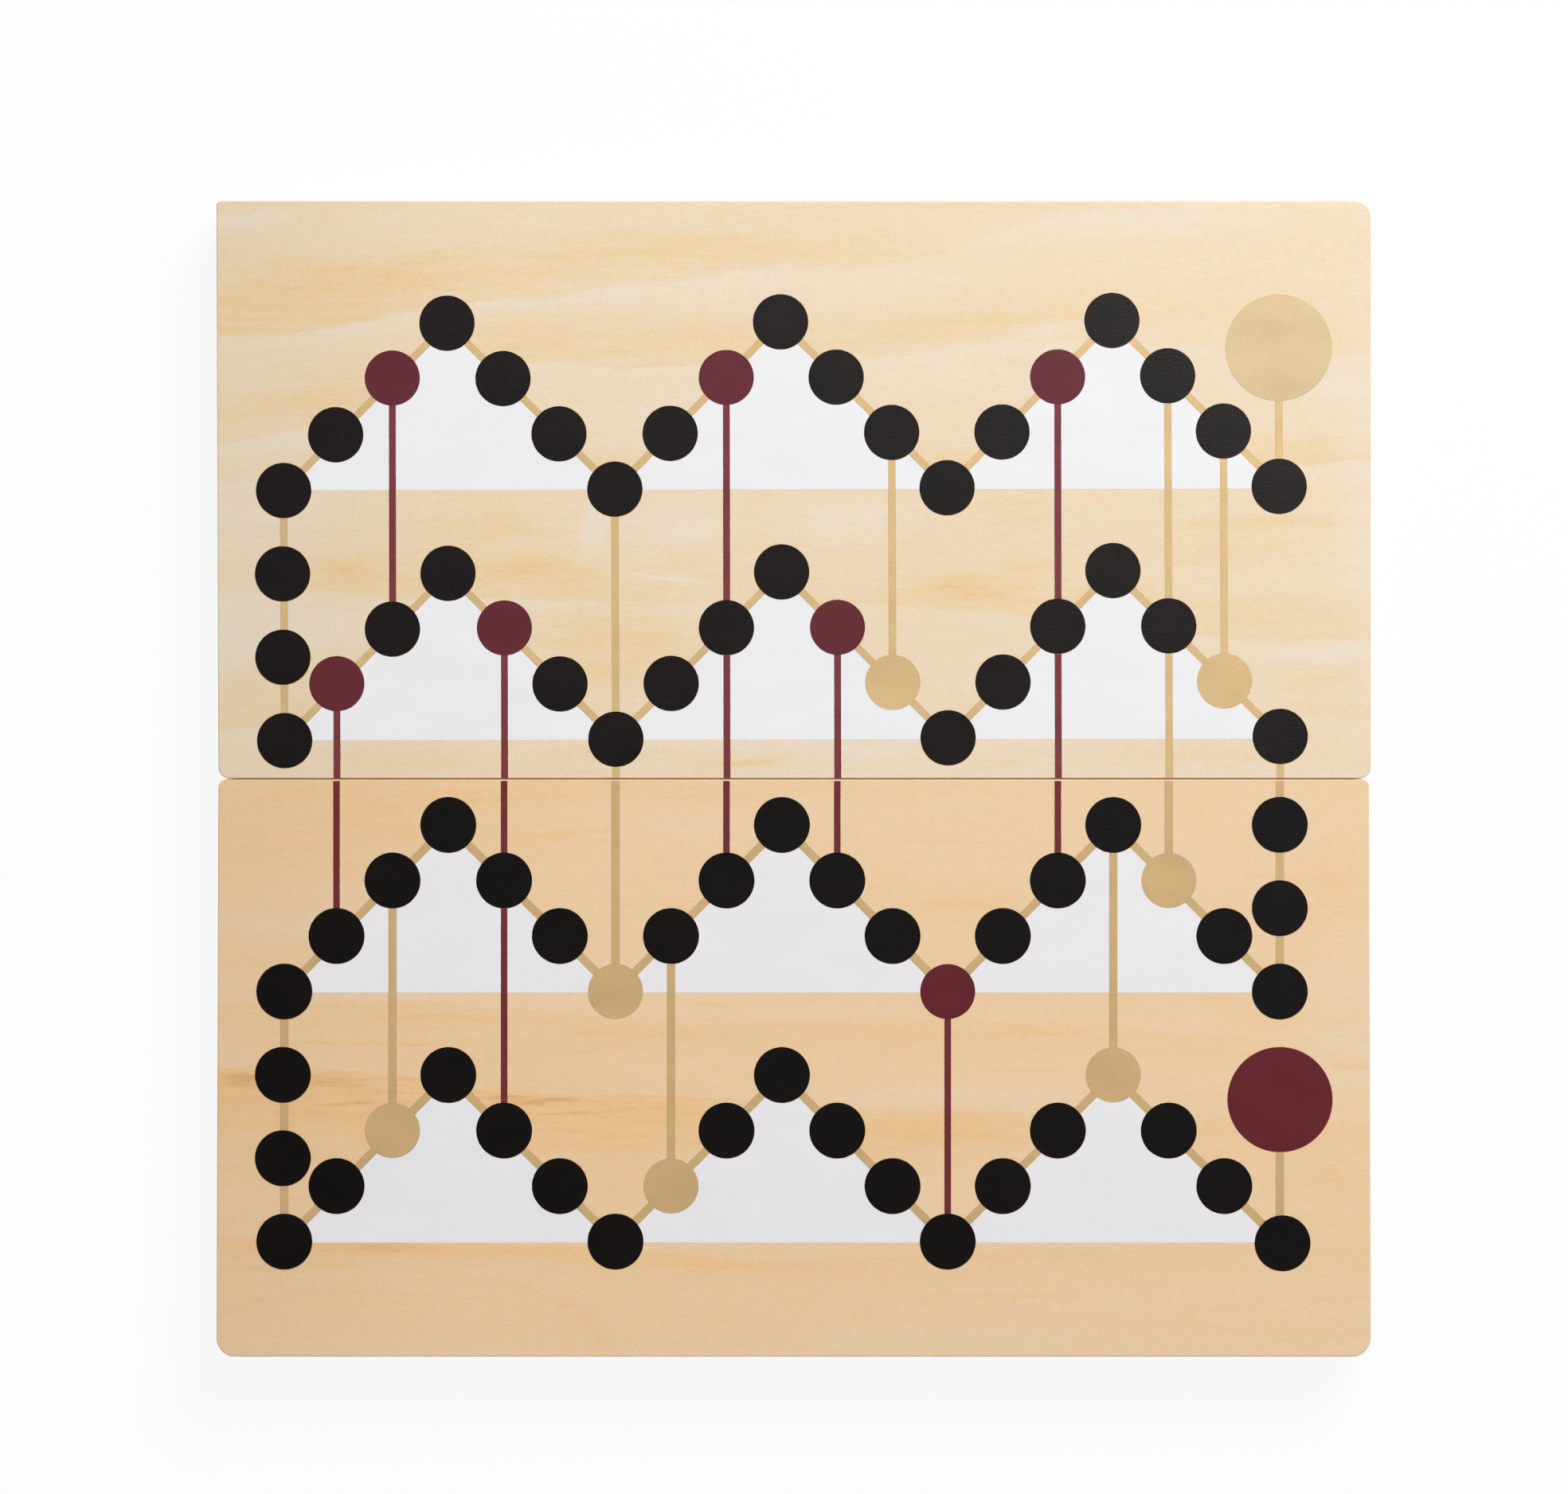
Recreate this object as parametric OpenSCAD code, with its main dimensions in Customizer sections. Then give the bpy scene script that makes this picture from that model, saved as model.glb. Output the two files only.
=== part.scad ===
// Folding race-game board: two shallow wooden trays, hinged at their rims, opened out flat
// with the printed faces up. X runs along the seam, Y across it, and Z is up. The origin is
// under the middle of the seam, level with the lowest points, which are the hinge barrels.
// The near half turns about the hinge pins and folds in under the far half.

/* [Halves] */
// Length of each half, along the seam
half_l = 290; // [270:1:320]
// Depth of each half, across the seam
half_d = 145; // [136:1:160]
// Height of each half, from its rims to its play face
half_h = 22.5; // [18:0.5:40]
// Thickness of the plywood play panels
panel_t = 3.2; // [2:0.1:5]
// Thickness of the frame rails
rail_t = 8; // [7:0.5:14]
// Number of fingers in each corner joint of the frames
finger_count = 5; // [3:2:9]
// Gap along the seam between the opened halves
seam_gap = 0.3; // [0.2:0.05:0.8]
// Gap between the rims of the halves when the box is folded shut
rim_gap = 0.3; // [0.2:0.05:0.8]

/* [Sanded corners] */
// Radius of the far half's outer left corner
far_outer_left_r = 1.2; // [0.5:0.1:6]
// Radius of the far half's outer right corner
far_outer_right_r = 4.2; // [0.5:0.1:6]
// Radius of the far half's left corner at the seam
far_seam_left_r = 2.8; // [0.5:0.1:6]
// Radius of the far half's right corner at the seam
far_seam_right_r = 2.8; // [0.5:0.1:6]
// Radius of the near half's left corner at the seam
near_seam_left_r = 2.2; // [0.5:0.1:6]
// Radius of the near half's right corner at the seam
near_seam_right_r = 1.8; // [0.5:0.1:6]
// Radius of the near half's outer left corner
near_outer_left_r = 4.7; // [0.5:0.1:6]
// Radius of the near half's outer right corner
near_outer_right_r = 4.8; // [0.5:0.1:6]

/* [Hinges] */
// Distance from each end of the halves to the middle of a hinge
hinge_inset = 60; // [35:1:100]
// Length of a hinge
hinge_l = 26; // [20:1:40]
// Number of knuckles in a hinge barrel
knuckle_count = 5; // [3:2:7]
// Outer diameter of the hinge barrel
barrel_d = 2.6; // [2.2:0.1:3.6]
// Diameter of the hinge pin
pin_d = 1.2; // [0.8:0.1:1.4]
// Radial clearance of the pin in the knuckles
pin_clear = 0.03; // [0.02:0.01:0.08]
// Gap between neighbouring knuckles
knuckle_gap = 0.1; // [0.05:0.05:0.3]
// Thickness of a hinge leaf
leaf_t = 0.6; // [0.45:0.05:0.9]
// Gap between the two leaves of a hinge when it is folded shut
leaf_gap = 0.06; // [0.04:0.02:0.2]
// Wood left between a leaf's free edge and the inner face of its rail
leaf_land = 1.1; // [0.6:0.1:1.5]
// Clearance round a leaf in its mortise
mortise_clear = 0.1; // [0.05:0.05:0.3]
// Clearance round the barrel in the rails
barrel_clear = 0.2; // [0.1:0.05:0.5]

/* [Screws and magnets] */
// Shank diameter of the hinge screws
screw_d = 1.6; // [1.2:0.1:2]
// Head diameter of the hinge screws
screw_head_d = 2.8; // [2.4:0.1:3.4]
// Length of the hinge screws
screw_l = 6; // [4:0.5:10]
// Length of the point of a screw
screw_point_l = 1.4; // [0.8:0.1:2.5]
// Width of the slot in a screw head
screw_slot_w = 0.4; // [0.3:0.05:0.6]
// Depth of the slot in a screw head
screw_slot_h = 0.3; // [0.2:0.05:0.4]
// Distance from a leaf's ends to its screws
screw_inset = 5; // [3:0.5:7]
// Clearance round the screws in the leaves and the wood
screw_clear = 0.02; // [0.01:0.01:0.05]
// Depth that screw heads lie below a leaf's face
screw_sink = 0.05; // [0.02:0.01:0.1]
// Diameter of the closing magnets
magnet_d = 5; // [3:0.5:6]
// Thickness of the closing magnets
magnet_t = 2; // [1:0.5:4]
// Distance from each end of the halves to a magnet
magnet_inset = 45; // [20:1:100]
// Clearance round a magnet in its pocket
magnet_clear = 0.05; // [0.02:0.01:0.1]
// Depth that a magnet lies below the rim
magnet_sink = 0.1; // [0.05:0.05:0.5]

/* [Print] */
// Thickness of the ink
ink_t = 0.1; // [0.05:0.05:0.3]
// Distance from the left edge to the first column of the track
print_left = 16.2; // [12:0.1:30]
// Distance from the right edge to the last column of the track
print_right = 22.8; // [16:0.1:30]
// Distance from the near edge to the lowest row of the track
print_near = 29.05; // [20:0.05:36]
// Distance from the far edge to the peaks of the highest row
print_far = 30.3; // [20:0.1:36]
// Extra room that the seam takes between the second row and the third
print_seam = 0.6; // [0:0.1:3]
// Distance that the first column is set in
first_column_in = 0.5; // [-1:0.1:1]
// Distance that the white filling lies below the track
white_drop = 0.35; // [0:0.05:0.6]
// Turn of the far half's track on its panel, in degrees
far_track_turn = 0.24; // [-0.5:0.02:0.5]
// Turn of the far half's white filling on its panel, in degrees
far_white_turn = 0.1; // [-0.5:0.02:0.5]
// Bare wood between the print and the seam
seam_bare = 0.3; // [0.1:0.05:2]
// Diameter of a space on the far half
far_dot_d = 13.65; // [8:0.05:16]
// Diameter of a space on the near half
near_dot_d = 13.8; // [8:0.05:16]
// Diameter of the big gold disc on the far half
far_disc_d = 26.7; // [16:0.1:32]
// Diameter of the big burgundy disc on the near half
near_disc_d = 26.3; // [16:0.1:32]
// Height of the big gold disc above the end of its row
far_disc_rise = 34.8; // [26:0.1:44]
// Height of the big burgundy disc above the end of its row
near_disc_rise = 35.7; // [26:0.1:44]
// Width of the gold bars on the far half
far_gold_w = 1.8; // [1:0.05:4]
// Width of the gold bars on the near half
near_gold_w = 2; // [1:0.05:4]
// Width of the burgundy bars
burgundy_w = 1.65; // [1:0.05:4]

/* [Hidden] */
$fn = 64;

FAR = 0;
NEAR = 1;
ply_tone = [0.93, 0.83, 0.68];
rail_tone = [0.90, 0.78, 0.60];
white_ink = [0.93, 0.93, 0.94];
gold_ink = [0.84, 0.71, 0.50];
burgundy_ink = [0.40, 0.18, 0.21];
black_ink = [0.13, 0.12, 0.12];
brass_tone = [0.80, 0.65, 0.36];
steel_tone = [0.62, 0.62, 0.63];

// Cutters run this far past the faces that they cut through
past = 1;
// Blunt tip of a screw's point
screw_tip_d = 0.2;

// Levels, from the lowest point of the barrels up
pin_z = barrel_d / 2;
rim_z = pin_z + rim_gap / 2;
frame_h = half_h - panel_t;
panel_z = rim_z + frame_h;
face_z = panel_z + panel_t;
leaf_z = pin_z + leaf_gap / 2;
finger_h = frame_h / finger_count;

// Each half as [nearest y, farthest y], and its corners' radii anticlockwise from near left
seam_y = seam_gap / 2;
HALF_Y = [[seam_y, seam_y + half_d], [-seam_y - half_d, -seam_y]];
CORNER_R = [
    [far_seam_left_r, far_seam_right_r, far_outer_right_r, far_outer_left_r],
    [near_outer_left_r, near_outer_right_r, near_seam_right_r, near_seam_left_r]
];

// Leaves reach from the pin's axis to just short of the rail's inner face
leaf_w = seam_y + rail_t - leaf_land;
hinge_x = half_l / 2 - hinge_inset;
knuckle_pitch = hinge_l / knuckle_count;
barrel_room_r = barrel_d / 2 + barrel_clear;
screw_y = (barrel_room_r + leaf_w) / 2;
magnet_x = half_l / 2 - magnet_inset;
magnet_y = seam_y + half_d - rail_t / 2;

// The track has 19 columns, and its rows zigzag 3 columns up and 3 down at 45 degrees
last_column = 18;
flank = 3;
step = (half_l - print_left - print_right) / last_column;
peak_h = flank * step;
near_row_y = -seam_y - half_d + print_near;
far_peak_y = seam_y + half_d - print_far;
row_pitch = (far_peak_y - peak_h - near_row_y - print_seam) / 3;
riser_pitch = row_pitch / 3;

// Rows 1 and 2 are on the far half, and rows 3 and 4 on the near half
ROWS = [[1, 2], [3, 4]];
BURGUNDY_SPACES = [[2, 8, 14], [1, 4, 10], [12], []];
GOLD_SPACES = [[], [11, 17], [6, 16], [2, 7, 15]];
// Bars between two rows as [column, upper row, lower row]
RISERS = [[0, 1, 2], [last_column, 2, 3], [0, 3, 4]];
GOLD_BARS = [[11, 1, 2], [17, 1, 2], [6, 1, 3], [16, 1, 3], [2, 3, 4], [7, 3, 4], [15, 3, 4]];
BURGUNDY_BARS = [[2, 1, 2], [8, 1, 3], [14, 1, 3], [1, 2, 3], [4, 2, 4], [10, 2, 3], [12, 3, 4]];
// Sizes of the print on each half, and the row that ends in its big disc
DOT_D = [far_dot_d, near_dot_d];
GOLD_W = [far_gold_w, near_gold_w];
DISC_INK = ["gold", "burgundy"];
DISC_ROW = [1, 4];
DISC_D = [far_disc_d, near_disc_d];
DISC_RISE = [far_disc_rise, near_disc_rise];
TRACK_TURN = [far_track_turn, 0];
WHITE_TURN = [far_white_turn, 0];

function zigzag(column) = flank - abs(column % (2 * flank) - flank);
function column_x(column) =
    -half_l / 2 + print_left + column * step + (column == 0 ? first_column_in : 0);
function row_y(row) = near_row_y + (4 - row) * row_pitch + (row < 3 ? print_seam : 0);
function space_at(row, column) = [column_x(column), row_y(row) + zigzag(column) * step];
function disc_at(half) = space_at(DISC_ROW[half], last_column) + [0, DISC_RISE[half]];
function has(list, value) = len([for (entry = list) if (entry == value) entry]) > 0;
function space_ink(row, column) =
    has(BURGUNDY_SPACES[row - 1], column) ? "burgundy"
    : has(GOLD_SPACES[row - 1], column) ? "gold" : "black";
function on_half(half, y) = half == FAR ? y > 0 : y < 0;

// Wood outside a rounded corner that has the body towards +X and +Y
module corner_waste(r) {
    difference() {
        translate([-past, -past]) square(r + past);
        translate([r, r]) circle(r);
    }
}

// Plan of a half, with each corner sanded to its own radius
module half_plan(half) {
    y = HALF_Y[half];
    corners = [[-half_l / 2, y[0]], [half_l / 2, y[0]], [half_l / 2, y[1]], [-half_l / 2, y[1]]];
    difference() {
        translate(corners[0]) square([half_l, half_d]);
        for (k = [0:3])
            translate(corners[k]) rotate(90 * k) corner_waste(CORNER_R[half][k]);
    }
}

module play_panel(half) {
    color(ply_tone)
        translate([0, 0, panel_z]) linear_extrude(panel_t) half_plan(half);
}

// Plan of a half as tall as its frame, which rounds the rails like the panel
module frame_space(half) {
    translate([0, 0, rim_z]) linear_extrude(frame_h) half_plan(half);
}

// Slots at both ends of a rail along X, where the other rails' fingers go
module finger_slots_x(y) {
    for (k = [1:2:finger_count - 2], x = [-half_l / 2 - past, half_l / 2 - rail_t])
        translate([x, y - past, rim_z + k * finger_h])
            cube([rail_t + past, rail_t + 2 * past, finger_h]);
}

// Slots at both ends of a rail along Y, open below the lowest finger and above the highest
module finger_slots_y(half, x) {
    for (k = [0:2:finger_count - 1], y = [HALF_Y[half][0] - past, HALF_Y[half][1] - rail_t]) {
        below = k == 0 ? past : 0;
        above = k == finger_count - 1 ? past : 0;
        translate([x - past, y, rim_z + k * finger_h - below])
            cube([rail_t + 2 * past, rail_t + past, finger_h + below + above]);
    }
}

// Rail along X whose near face is at y
module rail_x(half, y) {
    intersection() {
        frame_space(half);
        difference() {
            translate([-half_l / 2, y, rim_z]) cube([half_l, rail_t, frame_h]);
            finger_slots_x(y);
        }
    }
}

// Rail along Y whose left face is at x
module rail_y(half, x) {
    color(rail_tone)
        intersection() {
            frame_space(half);
            difference() {
                translate([x, HALF_Y[half][0], rim_z]) cube([rail_t, half_d, frame_h]);
                finger_slots_y(half, x);
            }
        }
}

// Runs its children on a half's side of the seam, where they are drawn towards +Y
module on_side(half) {
    if (half == FAR) children();
    else mirror([0, 1, 0]) children();
}

// Runs its children at both hinges
module at_hinges() {
    for (x = [-hinge_x, hinge_x]) translate([x, 0, 0]) children();
}

// Runs its children at the screws of a leaf that is centred on x = 0
module at_leaf_screws() {
    for (x = [-1, 1]) translate([x * (hinge_l / 2 - screw_inset), screw_y, leaf_z]) children();
}

// Runs its children at every other knuckle of a barrel, from the first or the second on
module at_knuckles(first) {
    for (k = [first:2:knuckle_count - 1])
        translate([(k + 0.5) * knuckle_pitch - hinge_l / 2, 0, pin_z]) children();
}

// Bar of round section along X, centred on x = 0 at the height of the pins
module round_bar(d, l) {
    translate([-l / 2, 0, pin_z]) rotate([0, 90, 0]) cylinder(d = d, h = l);
}

// Room in a hinge rail for one leaf, the barrel and the screws
module hinge_mortise() {
    room_l = hinge_l + 2 * mortise_clear;
    translate([-room_l / 2, -past, rim_z - past])
        cube([room_l, leaf_w + mortise_clear + past, leaf_z + leaf_t - rim_z + past]);
    round_bar(2 * barrel_room_r, room_l);
    at_leaf_screws() cylinder(d = screw_d + 2 * screw_clear, h = screw_l + screw_clear);
}

module hinge_rail(half) {
    color(rail_tone)
        difference() {
            rail_x(half, half == FAR ? seam_y : -seam_y - rail_t);
            on_side(half) at_hinges() hinge_mortise();
        }
}

// Runs its children where a half's magnets sit in the rim of its outer rail
module at_magnets(half) {
    on_side(half)
        for (x = [-magnet_x, magnet_x]) translate([x, magnet_y, rim_z + magnet_sink]) children();
}

module outer_rail(half) {
    color(rail_tone)
        difference() {
            rail_x(half, half == FAR ? seam_y + half_d - rail_t : -seam_y - half_d);
            at_magnets(half)
                translate([0, 0, -magnet_sink - past])
                    cylinder(d = magnet_d + 2 * magnet_clear, h = magnet_t + magnet_sink + past);
        }
}

module magnets(half) {
    color(steel_tone) at_magnets(half) cylinder(d = magnet_d, h = magnet_t);
}

// Countersunk hole in a leaf, from the face that shows
module leaf_screw_hole() {
    hole_d = screw_d + 2 * screw_clear;
    mouth_d = screw_head_d + 2 * screw_clear;
    translate([0, 0, -past]) cylinder(d = mouth_d, h = screw_sink + past);
    translate([0, 0, screw_sink]) cylinder(d1 = mouth_d, d2 = hole_d, h = leaf_t - screw_sink);
    cylinder(d = hole_d, h = leaf_t + past);
}

// Leaf of the hinge centred on x, with its knuckles and the gaps for the other leaf's
module hinge_leaf(half, x) {
    color(brass_tone)
        translate([x, 0, 0]) on_side(half)
            difference() {
                union() {
                    translate([-hinge_l / 2, 0, leaf_z]) cube([hinge_l, leaf_w, leaf_t]);
                    at_knuckles(half)
                        rotate([0, 90, 0])
                            cylinder(d = barrel_d, h = knuckle_pitch - knuckle_gap, center = true);
                }
                at_knuckles(1 - half)
                    cube([knuckle_pitch + knuckle_gap, 2 * barrel_room_r, 2 * barrel_d], center = true);
                round_bar(pin_d + 2 * pin_clear, hinge_l + 2 * past);
                at_leaf_screws() leaf_screw_hole();
            }
}

module hinge_pin(x) {
    color(steel_tone) translate([x, 0, 0]) round_bar(pin_d, hinge_l - knuckle_gap);
}

// Slotted countersunk wood screw that points up, with its head just above z = 0
module screw() {
    shank_l = screw_l - screw_point_l;
    difference() {
        union() {
            translate([0, 0, screw_sink])
                cylinder(d1 = screw_head_d, d2 = screw_d, h = leaf_t - screw_sink);
            translate([0, 0, screw_sink]) cylinder(d = screw_d, h = shank_l - screw_sink);
            translate([0, 0, shank_l]) cylinder(d1 = screw_d, d2 = screw_tip_d, h = screw_point_l);
        }
        translate([-screw_head_d / 2 - past, -screw_slot_w / 2, screw_sink - past])
            cube([screw_head_d + 2 * past, screw_slot_w, screw_slot_h + past]);
    }
}

module hinge_screws(half) {
    color(brass_tone) on_side(half) at_hinges() at_leaf_screws() screw();
}

// Straight bar of ink from one point to another
module stroke(from, to, w) {
    run = to - from;
    translate(from) rotate(atan2(run[1], run[0])) translate([0, -w / 2]) square([norm(run), w]);
}

// Bars of ink between rows, leaving out those that don't reach the half
module row_bars(half, bars, w) {
    for (bar = bars)
        if (half == FAR ? bar[1] < 3 : bar[2] > 2)
            stroke(space_at(bar[1], bar[0]), space_at(bar[2], bar[0]), w);
}

// Gold lines that join the spaces of a half's rows in order
module track_lines(half, w) {
    for (row = ROWS[half], column = [0:flank:last_column - flank])
        stroke(space_at(row, column), space_at(row, column + flank), w);
}

module spaces(half, ink) {
    for (row = ROWS[half], column = [0:last_column])
        if (space_ink(row, column) == ink)
            translate(space_at(row, column)) circle(d = DOT_D[half]);
}

// Black spaces on the risers between the rows
module riser_spaces(half) {
    for (riser = RISERS, k = [1, 2]) {
        place = [column_x(riser[0]), row_y(riser[2]) + k * riser_pitch];
        if (on_half(half, place[1])) translate(place) circle(d = DOT_D[half]);
    }
}

// All round marks of one ink on a half
module discs(half, ink) {
    spaces(half, ink);
    if (ink == "black") riser_spaces(half);
    if (ink == DISC_INK[half]) translate(disc_at(half)) circle(d = DISC_D[half]);
}

// Turns a print about the middle of its half, and keeps it on the wood, clear of the seam
module printed(half, turn) {
    y = HALF_Y[half];
    middle = [0, (y[0] + y[1]) / 2];
    intersection() {
        translate([-half_l / 2, half == FAR ? y[0] + seam_bare : y[0]])
            square([half_l, half_d - seam_bare]);
        translate(middle) rotate(turn) translate(-middle) children();
    }
}

module gold_marks(half) {
    difference() {
        union() {
            track_lines(half, GOLD_W[half]);
            row_bars(half, RISERS, GOLD_W[half]);
            row_bars(half, GOLD_BARS, GOLD_W[half]);
            stroke(space_at(DISC_ROW[half], last_column), disc_at(half), GOLD_W[half]);
            discs(half, "gold");
        }
        discs(half, "black");
        discs(half, "burgundy");
    }
}

module burgundy_marks(half) {
    difference() {
        union() {
            row_bars(half, BURGUNDY_BARS, burgundy_w);
            discs(half, "burgundy");
        }
        discs(half, "black");
        discs(half, "gold");
    }
}

// White filling between each peak of the track and the base line of its row
module white_peaks(half) {
    for (row = ROWS[half], column = [flank:2 * flank:last_column])
        translate([0, -white_drop])
            polygon([
                space_at(row, column - flank), space_at(row, column), space_at(row, column + flank)
            ]);
}

module film() {
    translate([0, 0, face_z]) linear_extrude(ink_t) children();
}

module black_print(half) {
    color(black_ink) film() printed(half, TRACK_TURN[half]) discs(half, "black");
}

module burgundy_print(half) {
    color(burgundy_ink) film() printed(half, TRACK_TURN[half]) burgundy_marks(half);
}

module gold_print(half) {
    color(gold_ink) film() printed(half, TRACK_TURN[half]) gold_marks(half);
}

module white_print(half) {
    color(white_ink)
        film()
            difference() {
                printed(half, WHITE_TURN[half]) white_peaks(half);
                printed(half, TRACK_TURN[half]) {
                    gold_marks(half);
                    burgundy_marks(half);
                    discs(half, "black");
                }
            }
}

play_panel(FAR);  // far_play_panel
outer_rail(FAR);  // far_outer_rail
hinge_rail(FAR);  // far_hinge_rail
rail_y(FAR, -half_l / 2);  // far_left_rail
rail_y(FAR, half_l / 2 - rail_t);  // far_right_rail
play_panel(NEAR);  // near_play_panel
outer_rail(NEAR);  // near_outer_rail
hinge_rail(NEAR);  // near_hinge_rail
rail_y(NEAR, -half_l / 2);  // near_left_rail
rail_y(NEAR, half_l / 2 - rail_t);  // near_right_rail
white_print(FAR);  // far_white_print
gold_print(FAR);  // far_gold_print
burgundy_print(FAR);  // far_burgundy_print
black_print(FAR);  // far_black_print
white_print(NEAR);  // near_white_print
gold_print(NEAR);  // near_gold_print
burgundy_print(NEAR);  // near_burgundy_print
black_print(NEAR);  // near_black_print
hinge_leaf(FAR, -hinge_x);  // left_hinge_far_leaf
hinge_leaf(NEAR, -hinge_x);  // left_hinge_near_leaf
hinge_pin(-hinge_x);  // left_hinge_pin
hinge_leaf(FAR, hinge_x);  // right_hinge_far_leaf
hinge_leaf(NEAR, hinge_x);  // right_hinge_near_leaf
hinge_pin(hinge_x);  // right_hinge_pin
hinge_screws(FAR);  // far_hinge_screws
hinge_screws(NEAR);  // near_hinge_screws
magnets(FAR);  // far_magnets
magnets(NEAR);  // near_magnets
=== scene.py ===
import math

import bmesh
import bpy
from bpy.props import FloatProperty, FloatVectorProperty, PointerProperty
from mathutils import Matrix, Vector, noise


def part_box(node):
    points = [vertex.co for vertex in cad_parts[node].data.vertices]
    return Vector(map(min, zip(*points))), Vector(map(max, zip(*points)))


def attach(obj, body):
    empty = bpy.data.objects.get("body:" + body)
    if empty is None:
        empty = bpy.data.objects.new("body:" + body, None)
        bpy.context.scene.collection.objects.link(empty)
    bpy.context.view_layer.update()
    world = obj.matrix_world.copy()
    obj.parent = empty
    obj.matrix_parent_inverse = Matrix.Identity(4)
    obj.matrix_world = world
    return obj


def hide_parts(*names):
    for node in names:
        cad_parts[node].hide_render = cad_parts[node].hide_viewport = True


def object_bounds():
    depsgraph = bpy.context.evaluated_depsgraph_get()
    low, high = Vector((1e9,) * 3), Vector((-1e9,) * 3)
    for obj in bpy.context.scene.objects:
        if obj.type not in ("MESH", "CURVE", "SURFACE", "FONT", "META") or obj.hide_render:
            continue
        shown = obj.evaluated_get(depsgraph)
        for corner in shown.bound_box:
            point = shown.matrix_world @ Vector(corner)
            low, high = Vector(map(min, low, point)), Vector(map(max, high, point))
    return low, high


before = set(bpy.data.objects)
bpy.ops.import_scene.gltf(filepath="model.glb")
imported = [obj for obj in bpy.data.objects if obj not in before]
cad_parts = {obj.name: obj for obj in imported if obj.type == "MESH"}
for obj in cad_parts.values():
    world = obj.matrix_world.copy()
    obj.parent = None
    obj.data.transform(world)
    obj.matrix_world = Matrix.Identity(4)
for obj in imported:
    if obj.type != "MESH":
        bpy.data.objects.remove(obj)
CAD_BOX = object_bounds()

bl_info = {
    "name": "Folding race board",
    "version": (1, 0, 0),
    "blender": (4, 5, 0),
    "location": "3D View > Sidebar > Race board",
    "description": "Dresses a folding wooden game board with its wood, inks and metal",
    "category": "Object",
}

MM = 0.001
PER_METRE = 1000
FACE_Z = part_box("far_play_panel")[1].z
PANEL_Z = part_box("far_play_panel")[0].z
RIM_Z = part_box("far_outer_rail")[0].z
FLOOR_Z = CAD_BOX[0].z
HALF_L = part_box("far_play_panel")[1].x
HALF_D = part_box("far_play_panel")[1].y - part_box("far_play_panel")[0].y
SEAM_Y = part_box("far_play_panel")[0].y

# The track has 19 columns. Rows 1 and 2 are on the far half, and rows 3 and 4 on the near one
HALVES = ("far", "near")
LAST_COLUMN = 18
LAST_ROW = 4
FLANK = 3
# The bow shifts the columns most at its middle and not at all where its reach ends. The columns
# beyond that go the other way, by no more than its lowest share
BOW_MIDDLE = 7
BOW_REACH = 6.5
BOW_LOWEST = -0.25
HALF_ROWS = {"far": (1, 2), "near": (3, 4)}
GOLD_SPACES = {2: (11, 17), 3: (6, 16), 4: (2, 7, 15)}
BURGUNDY_SPACES = {1: (2, 8, 14), 2: (1, 4, 10), 3: (12,)}
# Bars between two rows as column, upper row and lower row. A riser carries loose spaces too
RISER_SPACES = 2
RISERS = ((0, 1, 2), (LAST_COLUMN, 2, 3), (0, 3, 4))
GOLD_BARS = ((11, 1, 2), (17, 1, 2), (6, 1, 3), (16, 1, 3), (2, 3, 4), (7, 3, 4), (15, 3, 4))
BURGUNDY_BARS = ((2, 1, 2), (8, 1, 3), (14, 1, 3), (1, 2, 3), (4, 2, 4), (10, 2, 3), (12, 3, 4))

# Growth rings of each play face as tone at the left end, tone at the right end, reach in mm, and
# the ring's edge as x and distance from the seam. A ring is warmest beyond its edge, and the wood
# just short of its edge is pale
RING_SPAN = 160
# Where a ring's tone passes from its left one to its right one, as shares of the way along X
RING_FADE = (0.1, 0.9)
FAR_RINGS = (
    (0.5, 0.1, 26, (
        (-146, 111), (-120, 112.5), (-100, 117), (-80, 119.5), (-60, 121), (-40, 124), (-20, 126.5),
        (0, 128), (20, 129), (35, 131), (45, 135), (60, 139), (80, 142), (146, 150),
    )),
    (0.42, 0.22, 20, (
        (-146, 84.5), (-130, 86), (-110, 90), (-66, 103.5), (-50, 104), (-20, 103.8), (18, 106),
        (35, 108), (55, 109.5), (100, 108.5), (120, 107), (146, 105.5),
    )),
    (0.25, 0.35, 9, ((-146, 74.5), (-110, 75), (0, 77), (110, 78.5), (146, 79))),
    (0.4, 0.3, 13, (
        (-146, 46.5), (-120, 47.5), (-105, 46), (-60, 44), (0, 44), (30, 43), (60, 41), (100, 36),
        (146, 35),
    )),
    (0.3, 0.2, 9, ((-146, 12), (-60, 14), (0, 10), (60, 13), (146, 15))),
)
NEAR_RINGS = (
    (0.25, 0.15, 10, ((-146, 56), (-75, 57), (-30, 60), (38, 60), (80, 62), (146, 70))),
    (0.45, 0.2, 22, (
        (-146, 72.5), (-100, 74), (-72, 78), (-30, 79.5), (0, 81), (18, 83), (60, 83.5), (146, 87),
    )),
    (0.35, 0.1, 6, ((-146, 115), (-85, 117), (-50, 118), (0, 120), (60, 118), (146, 117))),
)

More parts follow.
